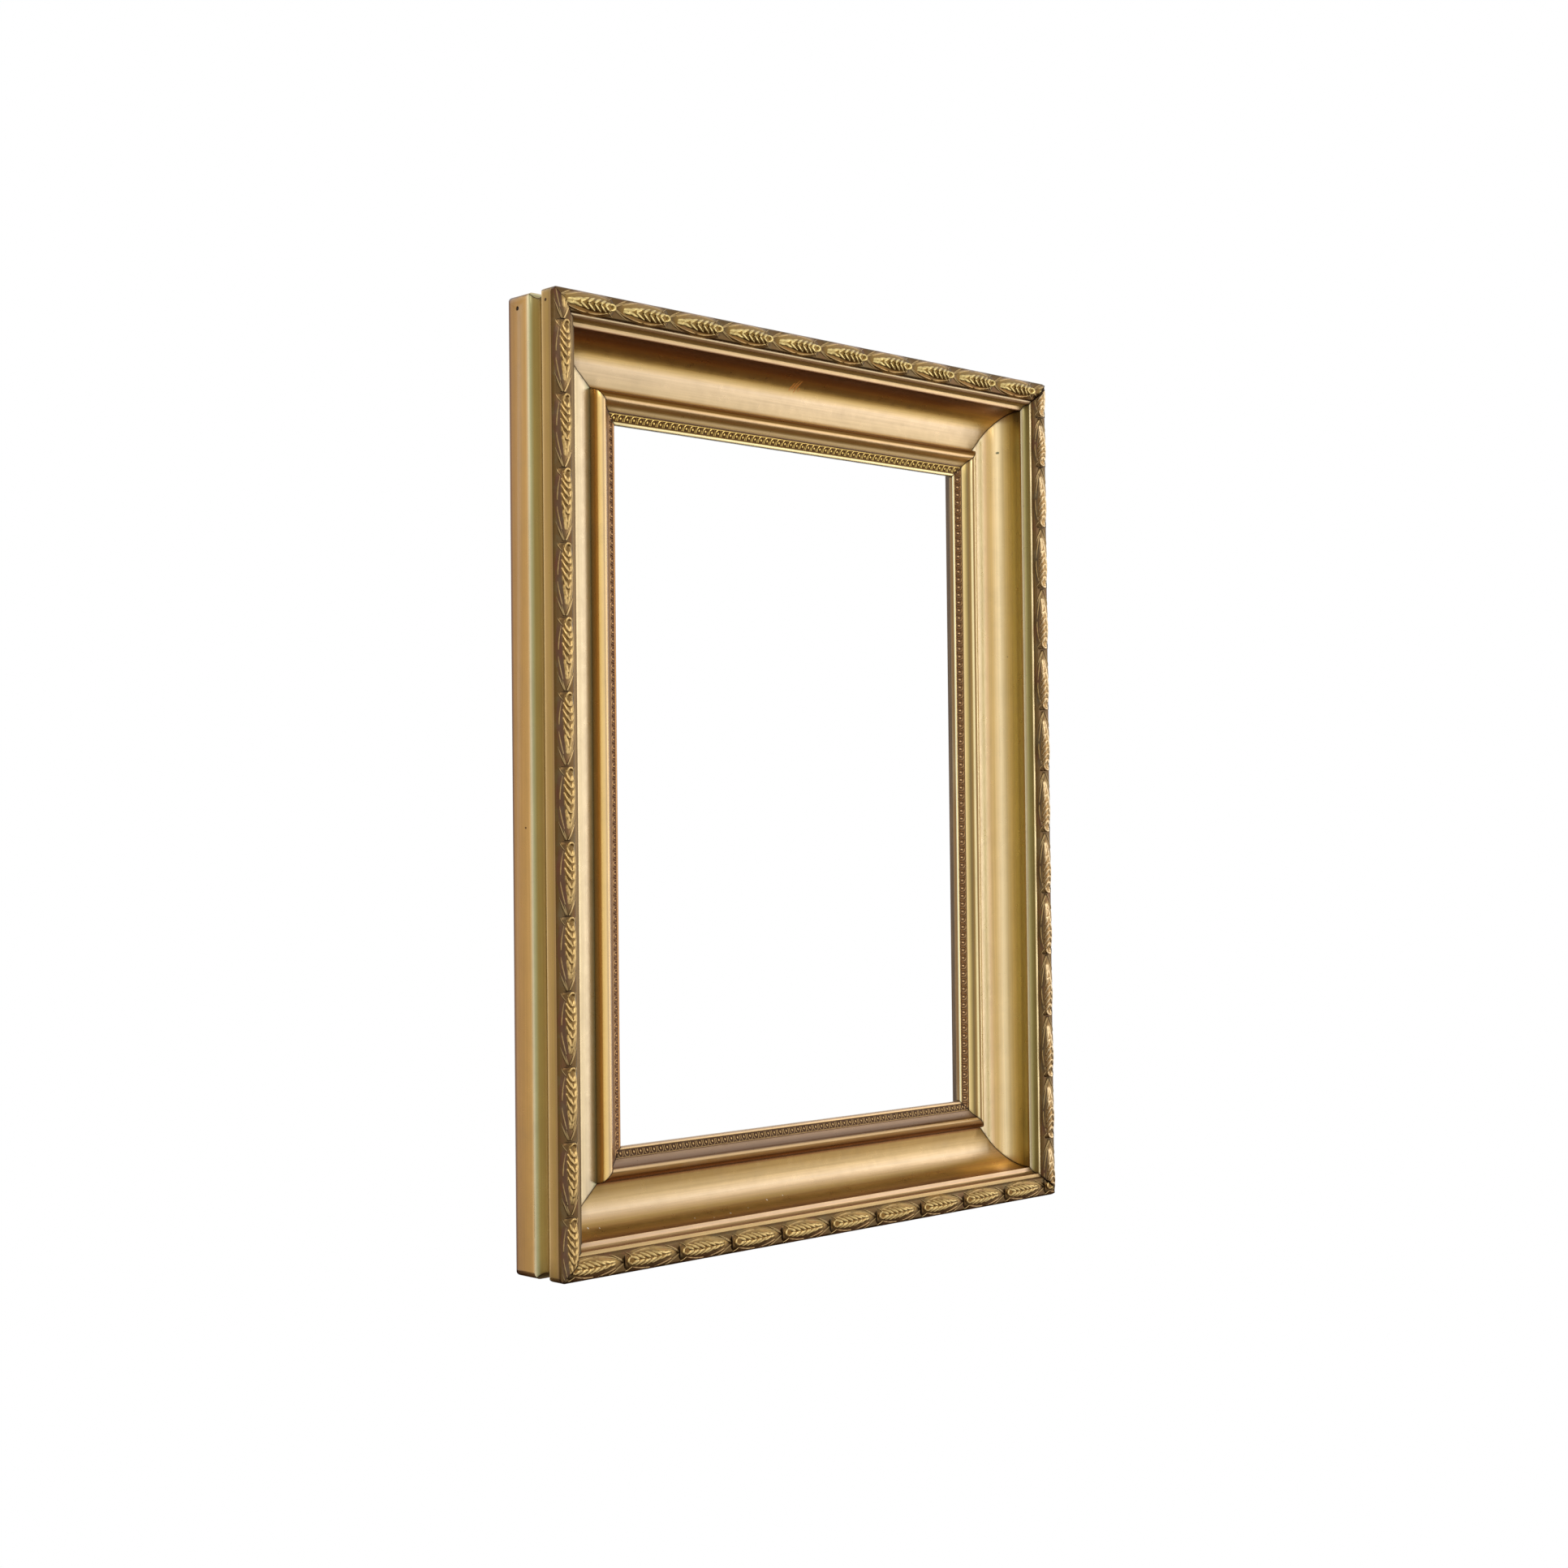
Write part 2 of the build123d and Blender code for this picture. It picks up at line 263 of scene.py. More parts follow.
def placePoint(side, along, u, d):
    # a point of a side that lies as the top one does, in metres
    return Vector((along * mm, frontPlane + d * mm, middle.z + (sides[side]["reach"] - u) * mm))


def drawRail(name, side, outline):
    # draws the section point by point, pulls it along the side and cuts the mitres
    half = sides[side]["length"] / 2 + section["overrun"]
    steps = round(2 * half / section["step"])
    clearSelection()
    bpy.ops.mesh.primitive_plane_add(size=mm, location=placePoint(side, -half, *outline[0]))
    rail = bpy.context.object
    rail.name = name
    bakePlace(rail)
    bpy.ops.object.mode_set(mode="EDIT")
    bpy.ops.mesh.merge(type="CENTER")
    for here, there in zip(outline, outline[1:]):
        move = placePoint(side, 0, *there) - placePoint(side, 0, *here)
        bpy.ops.mesh.extrude_region_move(TRANSFORM_OT_translate={"value": move})
    bpy.ops.mesh.select_all(action="SELECT")
    bpy.ops.mesh.edge_face_add()
    for _ in range(steps):
        bpy.ops.mesh.extrude_region_move(TRANSFORM_OT_translate={"value": (2 * half / steps * mm, 0, 0)})
    cutMitres(rail, side)
    return rail


def cutMitres(rail, side):
    bpy.ops.object.mode_set(mode="EDIT")
    for end in (-1, 1):
        bpy.ops.mesh.select_all(action="SELECT")
        corner = placePoint(side, end * sides[side]["length"] / 2, 0, 0)
        bpy.ops.mesh.bisect(plane_co=corner, plane_no=(end, 0, -1), use_fill=True, clear_outer=True)
    bpy.ops.mesh.select_all(action="SELECT")
    bpy.ops.mesh.normals_make_consistent(inside=False)
    bpy.ops.object.mode_set(mode="OBJECT")


def roundCorners(rail, side):
    # the outer corners are worn round: flats laid along the curve, up to the mitre
    radius = section["cornerRound"]
    bpy.ops.object.mode_set(mode="EDIT")
    for end in (-1, 1):
        middlePlace = placePoint(side, end * (sides[side]["length"] / 2 - radius), radius, 0)
        for turn in section["cornerTurns"]:
            normal = Vector((end * math.sin(math.radians(turn)), 0, math.cos(math.radians(turn))))
            bpy.ops.mesh.select_all(action="SELECT")
            bpy.ops.mesh.bisect(plane_co=middlePlace + normal * radius * mm, plane_no=normal, use_fill=True,
                                clear_outer=True)
    bpy.ops.object.mode_set(mode="OBJECT")


def turnToSide(piece, side):
    # the piece lies as the top side does and its object is at the world's origin
    turn = Matrix.Translation((0, 0, middle.z)) @ Matrix.Rotation(math.radians(sides[side]["angle"]), 4, "Y")
    piece.matrix_world = turn @ Matrix.Translation((0, 0, -middle.z)) @ piece.matrix_world
    bakePlace(piece)


def smooth(piece, angle=35):
    pickOnly(piece)
    bpy.ops.object.shade_smooth_by_angle(angle=math.radians(angle))


railFinish = {"arris": 0.28, "arrisAngle": 26, "waveSize": 0.09, "waveStrength": 0.12}


def softenRail(rail, side):
    # worn arrises, and the slight unevenness of planed wood under gesso
    v = railFinish
    applyModifier(rail, "BEVEL", width=v["arris"] * mm, segments=2, limit_method="ANGLE",
                  angle_limit=math.radians(v["arrisAngle"]), harden_normals=False)
    turnToSide(rail, side)
    cloud = bpy.data.textures.get("planedWood") or bpy.data.textures.new("planedWood", "CLOUDS")
    cloud.noise_scale = v["waveSize"]
    applyModifier(rail, "DISPLACE", texture=cloud, texture_coords="GLOBAL", strength=v["waveStrength"] * mm)
    smooth(rail)


def makeRails():
    made = {}
    for side in sides:
        for kind, outline in (("cove_rail_", coveOutline()), ("sight_rail_", sightOutline())):
            rail = drawRail("gilded_" + kind + side, side, outline)
            if kind == "cove_rail_":
                roundCorners(rail, side)
            softenRail(rail, side)
            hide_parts(kind + side)
            made[kind + side] = rail
    return made


rails = makeRails()
print("cove and sight rails drawn:", len(rails))

bandFinish = {"arris": 0.35, "arrisAngle": 30, "weld": 0.002, "flatAngle": 0.6}


def makeBand(side):
    # the base rail keeps its pockets and nail holes, with softened arrises
    v = bandFinish
    node = frame["nodes"]["base_rail_" + side]
    band = node.copy()
    band.data = node.data.copy()
    band.parent = None
    bpy.context.scene.collection.objects.link(band)
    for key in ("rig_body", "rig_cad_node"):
        if key in band:
            del band[key]
    band.name = "gilded_base_rail_" + side
    pickOnly(band)
    bpy.ops.object.mode_set(mode="EDIT")
    bpy.ops.mesh.select_all(action="SELECT")
    bpy.ops.mesh.customdata_custom_splitnormals_clear()
    bpy.ops.mesh.remove_doubles(threshold=v["weld"] * mm)
    bpy.ops.mesh.dissolve_limited(angle_limit=math.radians(v["flatAngle"]))
    bpy.ops.object.mode_set(mode="OBJECT")
    applyModifier(band, "BEVEL", width=v["arris"] * mm, segments=2, limit_method="ANGLE",
                  angle_limit=math.radians(v["arrisAngle"]), use_clamp_overlap=True)
    smooth(band)
    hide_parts("base_rail_" + side)
    return band


bands = {side: makeBand(side) for side in sides}
print("base rails softened:", len(bands))

# Wheat ornament. The unit is modelled in mm with X = -t, Y = -h, Z = -u: t runs back from its joint,
# h stands off the front plane and u goes in from the outer edge.
wheatValues = {
    "pitch": 44.55, "width": section["wheatWidth"],
    # the rings of the husk and of the ear: where each lies, how high it stands and its half width
    "leafRings": ((0.2, 3.1, 5.6), (2, 3.7, 6.7), (6, 4.0, 7.1), (14, 4.2, 7.2), (24, 4.1, 7.2),
                  (30, 3.9, 7.0), (35, 3.6, 6.4), (39, 3.2, 5.6), (42, 2.9, 4.8), (44.3, 2.6, 4.2)),
    "earRings": ((1.0, 1.6, 1.7), (2.2, 2.2, 2.5), (5, 2.6, 3.4), (9, 2.8, 3.9), (14, 2.9, 4.1),
                 (20, 2.8, 3.9), (26, 2.5, 3.2), (31, 2.1, 2.3), (35, 1.6, 1.5), (38.3, 1.1, 0.9)),
    "ringVerts": 32, "earMiddle": 7.8, "earSink": 1.5, "underThin": 0.06,
    # the seeds of one row: where the root and the free end lie along it, and how far out the free end is
    "seeds": ((38.4, 30.0, 1.6), (33.6, 25.4, 2.8), (28.4, 20.6, 3.7), (23.2, 15.7, 4.1), (18.2, 11.0, 4.1),
              (13.4, 6.8, 3.7), (9.2, 3.6, 2.7)),
    "rootSpread": 0.4, "grain": (0.7, 1.12), "grainRise": 0.1, "grainTaper": ((0.35, 0.75), (0.75, 0.6)),
    "knob": 3.0, "knobReach": 1.8, "knobThick": 0.75, "knobLift": 0.6, "knobTilt": 24, "knobStretch": 1.2,
    # stalks: from and to along the unit, from and to across it, sideways bow, thickness
    "veins": ((38.5, 22, 10.2, 13.2, 0.5, 0.34), (20, 5.5, 13.2, 11.6, 0.6, 0.34),
              (37.5, 24, 4.4, 1.4, -0.4, 0.28), (20, 6, 1.6, 3.2, -0.5, 0.28)),
    "strands": ((43.8, 35, 7.8, 12.4, 0.3, 0.34), (43.8, 33, 8.2, 13.3, 0.5, 0.28),
                (43.9, 37.5, 7.5, 10.4, 0.2, 0.34), (43.8, 35, 6.2, 1.9, -0.3, 0.34),
                (43.8, 33, 5.8, 0.9, -0.5, 0.28), (43.9, 37.5, 6.5, 3.9, -0.2, 0.34),
                (5.2, 0.8, 10.2, 13.0, 0.3, 0.3), (5.2, 0.8, 3.8, 1.4, -0.3, 0.3)),
    "stalkTip": 0.35, "stalkSwell": 0.75, "stalkRoot": 0.22,
    "lift": 0.16, "voxel": 0.24, "faces": 5200,
    "copyStretch": 0.012, "copyLift": 0.05, "jointReach": 8, "bedCover": 0.3,
    # where the ear's paint ends and how softly, and how proud a seed or a strand is when it is fully pale, its
    # painted highlight at full
    "paintEnd": 0.8, "paintEdge": 0.7, "paintSoft": 0.4, "riseLow": 0.1, "riseSoft": 0.3,
    "seedLow": 0.05, "seedProud": 0.5, "strandProud": 0.4,
}


def ringValue(rings, t, place):
    # the height or half width of a body drawn through rings, at t
    for first, second in zip(rings, rings[1:]):
        if t <= second[0]:
            share = max(0, t - first[0]) / (second[0] - first[0])
            return first[place] + (second[place] - first[place]) * share
    return rings[-1][place]


def leafHeight(t, u):
    # the husk, or the bed where it is bare
    rings, half, rise = wheatValues["leafRings"], wheatValues["width"] / 2, section["wheatRise"]
    shoulder = min(rise, max(0, half - abs(u - half)))
    bed = math.sqrt(shoulder * (2 * rise - shoulder))
    if t > rings[-1][0]:
        return bed
    across = min(1, abs(u - half) / ringValue(rings, t, 2))
    return max(bed, ringValue(rings, t, 1) * math.sqrt(1 - across * across))


def earHeight(t, u):
    # the ear's body, without its seeds
    v = wheatValues
    across = min(1, abs(u - v["earMiddle"]) / ringValue(v["earRings"], t, 2))
    body = ringValue(v["earRings"], t, 1) * math.sqrt(1 - across * across)
    return leafHeight(t, v["earMiddle"]) - v["earSink"] + body


def unitPoint(t, u, h):
    return Vector((-t, -h, -u))


def drawBody(name, rings, middleU, base):
    # an oval body drawn along the unit from ring to ring, each with its own height and half width
    v = wheatValues
    clearSelection()
    bpy.ops.mesh.primitive_circle_add(vertices=v["ringVerts"], radius=1, fill_type="NGON",
                                      rotation=(0, quarterTurn, 0))
    body = bpy.context.object
    body.name = name
    body.scale = (rings[0][2], rings[0][1], 1)
    body.location = unitPoint(rings[0][0], middleU, base(rings[0][0]))
    bakePlace(body)
    bpy.ops.object.mode_set(mode="EDIT")
    bpy.ops.mesh.select_all(action="SELECT")
    for (t0, h0, w0), (t1, h1, w1) in zip(rings, rings[1:]):
        bpy.ops.mesh.extrude_region_move(TRANSFORM_OT_translate={"value": (t0 - t1, base(t0) - base(t1), 0)})
        bpy.ops.transform.resize(value=(1, h1 / h0, w1 / w0),
                                 center_override=unitPoint(t1, middleU, base(t1)))
    bpy.ops.mesh.select_all(action="SELECT")
    bpy.ops.mesh.normals_make_consistent(inside=False)
    bpy.ops.object.mode_set(mode="OBJECT")
    return body


def makeLeaf():
    # the husk that carries the ear, full at its joint and low behind, flat underneath
    v = wheatValues
    leaf = drawBody("wheatLeaf", v["leafRings"], v["width"] / 2, lambda t: 0)
    pickVerts(leaf, lambda co: co.y > 0.01)
    bpy.ops.transform.resize(value=(1, v["underThin"], 1), center_override=(0, 0, 0))
    bpy.ops.object.mode_set(mode="OBJECT")
    return leaf


def makeGrain(root, middlePoint, free):
    # a seed with a blunt root and a pointed free end, half sunk in the ear
    bpy.ops.mesh.primitive_uv_sphere_add(segments=12, ring_count=8, radius=1, rotation=(0, quarterTurn, 0))
    grain = bpy.context.object
    bakePlace(grain)
    for reach, share in wheatValues["grainTaper"]:
        pickVerts(grain, lambda co: co.x > reach)
        bpy.ops.transform.resize(value=(1, share, share), center_override=(0, 0, 0))
    bpy.ops.object.mode_set(mode="OBJECT")
    run = free - root
    grain.scale = (run.length / 2, *wheatValues["grain"])
    bakePlace(grain)
    grain.rotation_euler = run.to_track_quat("X", "Z").to_euler()
    grain.location = middlePoint
    bakePlace(grain)
    return grain


def makeEar():
    # a raised lens with two rows of seeds splayed from its middle and a ring at its end
    v = wheatValues
    middleU = v["earMiddle"]
    parts = [drawBody("wheatEar", v["earRings"], middleU, lambda t: leafHeight(t, middleU) - v["earSink"])]
    clearSelection()
    for rootT, freeT, reach in v["seeds"]:
        for way in (-1, 1):
            rootU, freeU = middleU + way * v["rootSpread"], middleU + way * reach
            seedT, seedU = (rootT + freeT) / 2, (rootU + freeU) / 2
            root = unitPoint(rootT, rootU, earHeight(rootT, rootU))
            free = unitPoint(freeT, freeU, earHeight(freeT, freeU) + 2 * v["grainRise"])
            seat = unitPoint(seedT, seedU, earHeight(seedT, seedU) + v["grainRise"])
            parts.append(makeGrain(root, seat, free))
    bpy.ops.mesh.primitive_torus_add(major_radius=v["knobReach"], minor_radius=v["knobThick"],
                                     major_segments=20, minor_segments=8, rotation=(quarterTurn, 0, 0))
    knob = bpy.context.object
    bakePlace(knob)
    knob.scale = (v["knobStretch"], 1, 1)
    knob.rotation_euler = (0, 0, -math.radians(v["knobTilt"]))
    knobHeight = earHeight(v["knob"], middleU) - v["knobThick"] + v["knobLift"]
    knob.location = unitPoint(v["knob"], middleU, knobHeight)
    bakePlace(knob)
    parts.append(knob)
    return parts


def makeStalk(startT, endT, startU, endU, bow, thick):
    # a thin stalk lying on the husk, bowed sideways, fine at its free end
    v = wheatValues
    clearSelection()
    bpy.ops.curve.primitive_bezier_curve_add(location=(0, 0, 0))
    stalk = bpy.context.object
    bpy.ops.object.mode_set(mode="EDIT")
    bpy.ops.curve.select_all(action="SELECT")
    bpy.ops.curve.subdivide(number_cuts=5)
    bpy.ops.object.mode_set(mode="OBJECT")
    points = stalk.data.splines[0].bezier_points
    for i, point in enumerate(points):
        share = i / (len(points) - 1)
        t = startT + (endT - startT) * share
        u = startU + (endU - startU) * share + 4 * bow * share * (1 - share)
        point.co = unitPoint(t, u, leafHeight(t, u) + v["lift"])
        point.handle_left_type = point.handle_right_type = "AUTO"
        swell = math.sin(math.pi * min(1, share * v["stalkSwell"] + v["stalkRoot"]))
        point.radius = v["stalkTip"] + (1 - v["stalkTip"]) * swell
    stalk.data.bevel_depth = thick
    stalk.data.bevel_resolution = 1
    stalk.data.resolution_u = 3
    stalk.data.use_fill_caps = True
    pickOnly(stalk)
    bpy.ops.object.convert(target="MESH")
    return stalk


def makeWheatUnit():
    v = wheatValues
    parts = [makeLeaf()] + makeEar()
    for line in v["veins"]:
        parts.append(makeStalk(*line))
    unit = joinPieces(parts, "wheatUnit")
    applyModifier(unit, "REMESH", mode="VOXEL", voxel_size=v["voxel"])
    applyModifier(unit, "SMOOTH", factor=0.5, iterations=2)
    share = v["faces"] * 2 / sum(len(p.vertices) - 2 for p in unit.data.polygons)
    applyModifier(unit, "DECIMATE", ratio=share)
    unit = joinPieces([unit] + [makeStalk(*line) for line in v["strands"]], "wheatUnit")
    paintEar(unit)
    unit.scale = (mm, mm, mm)
    bakePlace(unit)
    return unit


def paintEar(unit):
    # kept for the gilding's colour and its painted highlights: what is seed, how proud it stands there, and how
    # far it is from a joint
    v = wheatValues
    layers = {name: unit.data.attributes.new(name, "FLOAT", "POINT") for name in ("ear", "proud", "cover")}
    for i, vert in enumerate(unit.data.vertices):
        t, h, u = -vert.co.x, -vert.co.y, -vert.co.z
        rise = h - leafHeight(t, u)
        onEar = 0
        if v["earRings"][0][0] - v["paintEnd"] < t < v["earRings"][-1][0]:
            inside = ringValue(v["earRings"], t, 2) + v["paintEdge"] - abs(u - v["earMiddle"])
            onEar = min(1, max(0, inside / v["paintSoft"]))
            onEar *= min(1, max(0, (rise + v["riseLow"]) / v["riseSoft"]))
        if onEar > 0.5:
            proud = (h - earHeight(t, u) - v["seedLow"]) / v["seedProud"]
        else:
            proud = rise / v["strandProud"]
        layers["ear"].data[i].value = onEar
        layers["proud"].data[i].value = min(1, max(0, proud))
        layers["cover"].data[i].value = min(1, max(0, min(t, v["pitch"] - t) / v["jointReach"]))


# joint nearest the end of each side, and the broken run at the top of the right side
wheatRuns = {
    "top": {"first": 15.7, "joints": None},
    "right": {"first": -3.2, "joints": (12, 36.2)},
    "bottom": {"first": 4.2, "joints": None},
    "left": {"first": 19.7, "joints": None},
}


def wheatPlaces(side):
    # start and length of each unit along the side, from its end backwards
    v, run = wheatValues, wheatRuns[side]
    half = sides[side]["length"] / 2
    start = half - run["first"]
    while start < half:
        start += v["pitch"]
    places = []
    whole, short = run["joints"] or (None, None)
    while start > -half:
        length = v["pitch"]
        if len(places) == whole:
            length = short
        places.append((start, length))
        start -= length
    return places


def makeWheatStrip(side, unit):
    v = wheatValues
    chance = random.Random(side)
    bed = drawRail("wheatBed", side, wheatBedOutline())
    layer = bed.data.attributes.new("cover", "FLOAT", "POINT")
    for value in layer.data:
        value.value = v["bedCover"]
    parts = [bed]
    for start, length in wheatPlaces(side):
        piece = unit.copy()
        piece.data = unit.data.copy()
        bpy.context.scene.collection.objects.link(piece)
        piece.scale = (length / v["pitch"] * (1 + chance.uniform(-1, 0.3) * v["copyStretch"]),
                       1 + chance.uniform(-1, 1) * v["copyLift"], 1)
        piece.location = placePoint(side, start, 0, 0)
        bakePlace(piece)
        parts.append(piece)
    strip = joinPieces(parts, "gilded_wheat_" + side)
    cutMitres(strip, side)
    roundCorners(strip, side)
    turnToSide(strip, side)
    smooth(strip, 42)
    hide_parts("wheat_strip_" + side)
    return strip


wheatUnit = makeWheatUnit()
print("wheat unit:", len(wheatUnit.data.polygons), "faces")
wheatStrips = {side: makeWheatStrip(side, wheatUnit) for side in sides}
bpy.data.objects.remove(wheatUnit)
print("wheat strips laid:", {side: len(strip.data.polygons) for side, strip in wheatStrips.items()})

# Egg course at the sight edge: a seed in an open loop, eight to one length of wheat
eggValues = {
    "pitch": wheatValues["pitch"] / 8, "eggHalf": (0.8, 0.75, 1.15), "eggMiddle": 2.9, "loopReach": 2.15,
    "loopTop": 0.35, "loopEnds": 1.9, "loopThick": 0.56, "loopSteps": 6,
    "bedThick": 0.2, "edgeRib": 0.3, "ribWidth": 0.4, "ribFoot": 0.5, "outerDip": 0.1, "innerDip": 0.15,
}


def makeEggUnit():
    # lies in the plane of its bed: X along, Z = -w across from the outer edge, Y = -h off the bed, in mm
    v = eggValues
    clearSelection()
    bpy.ops.mesh.primitive_uv_sphere_add(segments=8, ring_count=4, radius=1)
    egg = bpy.context.object
    pickVerts(egg, lambda co: co.y > 0.05)
    bpy.ops.mesh.delete(type="VERT")
    bpy.ops.object.mode_set(mode="OBJECT")
    egg.scale = v["eggHalf"]
    egg.location = (0, 0, -v["eggMiddle"])
    bakePlace(egg)
    bpy.ops.mesh.primitive_plane_add(size=1, location=(0, 0, 0))
    loop = bpy.context.object
    bpy.ops.object.mode_set(mode="EDIT")
    bpy.ops.mesh.merge(type="CENTER")
    bpy.ops.mesh.select_all(action="SELECT")
    places = []
    reach = v["loopReach"]
    for i in range(v["loopSteps"] + 1):
        angle = math.pi * i / v["loopSteps"]
        places.append(Vector((-reach * math.cos(angle), 0, -reach - v["loopTop"] + reach * math.sin(angle))))
    places.insert(0, places[0] - Vector((0, 0, v["loopEnds"])))
    places.append(places[-1] - Vector((0, 0, v["loopEnds"])))
    bpy.ops.transform.translate(value=places[0])
    for here, there in zip(places, places[1:]):
        bpy.ops.mesh.extrude_region_move(TRANSFORM_OT_translate={"value": there - here})
    bpy.ops.object.mode_set(mode="OBJECT")
    pickOnly(loop)
    bpy.ops.object.convert(target="CURVE")
    loop = bpy.context.object
    loop.data.bevel_depth = v["loopThick"]
    loop.data.bevel_resolution = 0
    loop.data.use_fill_caps = True
    bpy.ops.object.convert(target="MESH")
    return joinPieces([bpy.context.object, egg], "eggUnit")


def makeEggStrip(side, unit):
    # a thin sloping ribbon with the units set along it
    v = eggValues
    startU, startD = at["eggStart"]
    endU, endD = at["eggEnd"]
    slope = math.atan2(endD - startD, endU - startU)
    lift = v["bedThick"]
    startTop, endTop = startD - lift - v["edgeRib"], endD - lift - v["edgeRib"]
    ribbon = [(startU, startD), (startU, startTop), (startU + v["ribWidth"], startTop),
              (startU + v["ribFoot"], startD - lift + v["outerDip"]),
              (endU - v["ribFoot"], endD - lift - v["innerDip"]), (endU - v["ribWidth"], endTop),
              (endU, endTop), (endU, endD)]
    parts = [drawRail("eggBed", side, ribbon)]
    count = round((sides[side]["length"] / 2 - startU) / v["pitch"])
    for i in range(-count, count + 1):
        piece = unit.copy()
        piece.data = unit.data.copy()
        bpy.context.scene.collection.objects.link(piece)
        piece.scale = (mm, mm, mm)
        piece.rotation_euler = (slope, 0, 0)
        piece.location = placePoint(side, i * v["pitch"], startU, startD - lift)
        bakePlace(piece)
        parts.append(piece)
    strip = joinPieces(parts, "gilded_eggs_" + side)
    cutMitres(strip, side)
    turnToSide(strip, side)
    smooth(strip, 50)
    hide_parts("egg_strip_" + side)
    return strip


eggUnit = makeEggUnit()
print("egg unit:", len(eggUnit.data.polygons), "faces")
eggStrips = {side: makeEggStrip(side, eggUnit) for side in sides}
bpy.data.objects.remove(eggUnit)
print("egg courses laid")


# The view of the photograph, fitted to the frame's own edges, in metres
cameraValues = {
    "place": (-1.1059, -1.1185, -0.2935), "forward": (0.70297, 0.71089, 0.02136),
    "up": (-0.00752, -0.02260, 0.99972), "lens": 53.44, "sensor": 36, "near": 0.05, "far": 60,
}


def makeCamera():
    v = cameraValues
    clearSelection()
    bpy.ops.object.camera_add(location=v["place"])
    camera = bpy.context.object
    camera.name = "photoCamera"
    back = -Vector(v["forward"]).normalized()
    right = Vector(v["up"]).cross(back).normalized()
    turned = Matrix((right, back.cross(right), back)).transposed().to_4x4()
    camera.matrix_world = Matrix.Translation(v["place"]) @ turned
    camera.data.lens = v["lens"]
    camera.data.sensor_width = v["sensor"]
    camera.data.clip_start, camera.data.clip_end = v["near"], v["far"]
    bpy.context.scene.camera = camera


makeCamera()

lightValues = {
    "lamps": {
        "keySoftbox": {"place": (-0.6, -1.7, 1.3), "size": 1.3, "watts": 12, "colour": (1.0, 0.97, 0.93)},
        "fillSoftbox": {"place": (2.0, -1.4, -0.1), "size": 1.5, "watts": 7.5, "colour": (1.0, 0.98, 0.96)},
    },
    "aim": (0, 0, -0.26),
    "worldLight": 0.30,
    "backdropWhite": 1.0,
    "floorDrop": 1.3,
    "floorSize": 4.0,
    "floorColour": (0.78, 0.77, 0.75, 1),
}


def makeLights():
    for name, v in lightValues["lamps"].items():
        bpy.ops.object.light_add(type="AREA", location=v["place"])
        lamp = bpy.context.object
        lamp.name = name
        lamp.data.shape = "SQUARE"
        lamp.data.size = v["size"]
        lamp.data.energy = v["watts"]
        lamp.data.color = v["colour"]
        aim = Vector(lightValues["aim"]) - Vector(v["place"])
        lamp.rotation_euler = aim.to_track_quat("-Z", "Y").to_euler()


def makeWorld():
    world = bpy.data.worlds.new("studioAir")
    bpy.context.scene.world = world
    world.use_nodes = True
    nodes, links = world.node_tree.nodes, world.node_tree.links
    nodes.clear()
    out = nodes.new("ShaderNodeOutputWorld")
    rays = nodes.new("ShaderNodeLightPath")
    soft = nodes.new("ShaderNodeBackground")
    white = nodes.new("ShaderNodeBackground")
    mix = nodes.new("ShaderNodeMixShader")
    first = nodes.new("ShaderNodeMath")
    second = nodes.new("ShaderNodeMath")
    first.operation = second.operation = "MAXIMUM"
    soft.inputs["Strength"].default_value = lightValues["worldLight"]
    white.inputs["Strength"].default_value = lightValues["backdropWhite"]
    soft.inputs["Color"].default_value = white.inputs["Color"].default_value = (1, 1, 1, 1)
    links.new(rays.outputs["Is Camera Ray"], first.inputs[0])
    links.new(rays.outputs["Is Glossy Ray"], first.inputs[1])
    links.new(first.outputs[0], second.inputs[0])
    links.new(rays.outputs["Is Transmission Ray"], second.inputs[1])
    links.new(second.outputs[0], mix.inputs["Fac"])
    links.new(soft.outputs[0], mix.inputs[1])
    links.new(white.outputs[0], mix.inputs[2])
    links.new(mix.outputs[0], out.inputs["Surface"])


def makeFloor():
    low = cadLow.z - lightValues["floorDrop"]
    bpy.ops.mesh.primitive_plane_add(size=lightValues["floorSize"], location=(0, 0, low))
    floor = bpy.context.object
    floor.name = "paleFloor"
    paint = bpy.data.materials.new("palePaint")
    paint.use_nodes = True
    shader = paint.node_tree.nodes["Principled BSDF"]
    shader.inputs["Base Color"].default_value = lightValues["floorColour"]
    shader.inputs["Roughness"].default_value = 0.9
    floor.data.materials.append(paint)


# Cards for the gilding to reflect: a dark brown one for a floor below, and a warm pale one on the left.
# They are seen only in reflections.
cards = {
    "floorCard": {"place": (0.6, 1.2, -1.75), "size": (9, 5.4), "turn": (0, 0, 0),
                  "colour": (0.055, 0.022, 0.008), "strength": 1},
    "leftCard": {"place": (-2.6, 0.6, -0.2), "size": (3.4, 5), "turn": (0, 90, 0),
                 "colour": (0.92, 0.84, 0.64), "strength": 1},
}


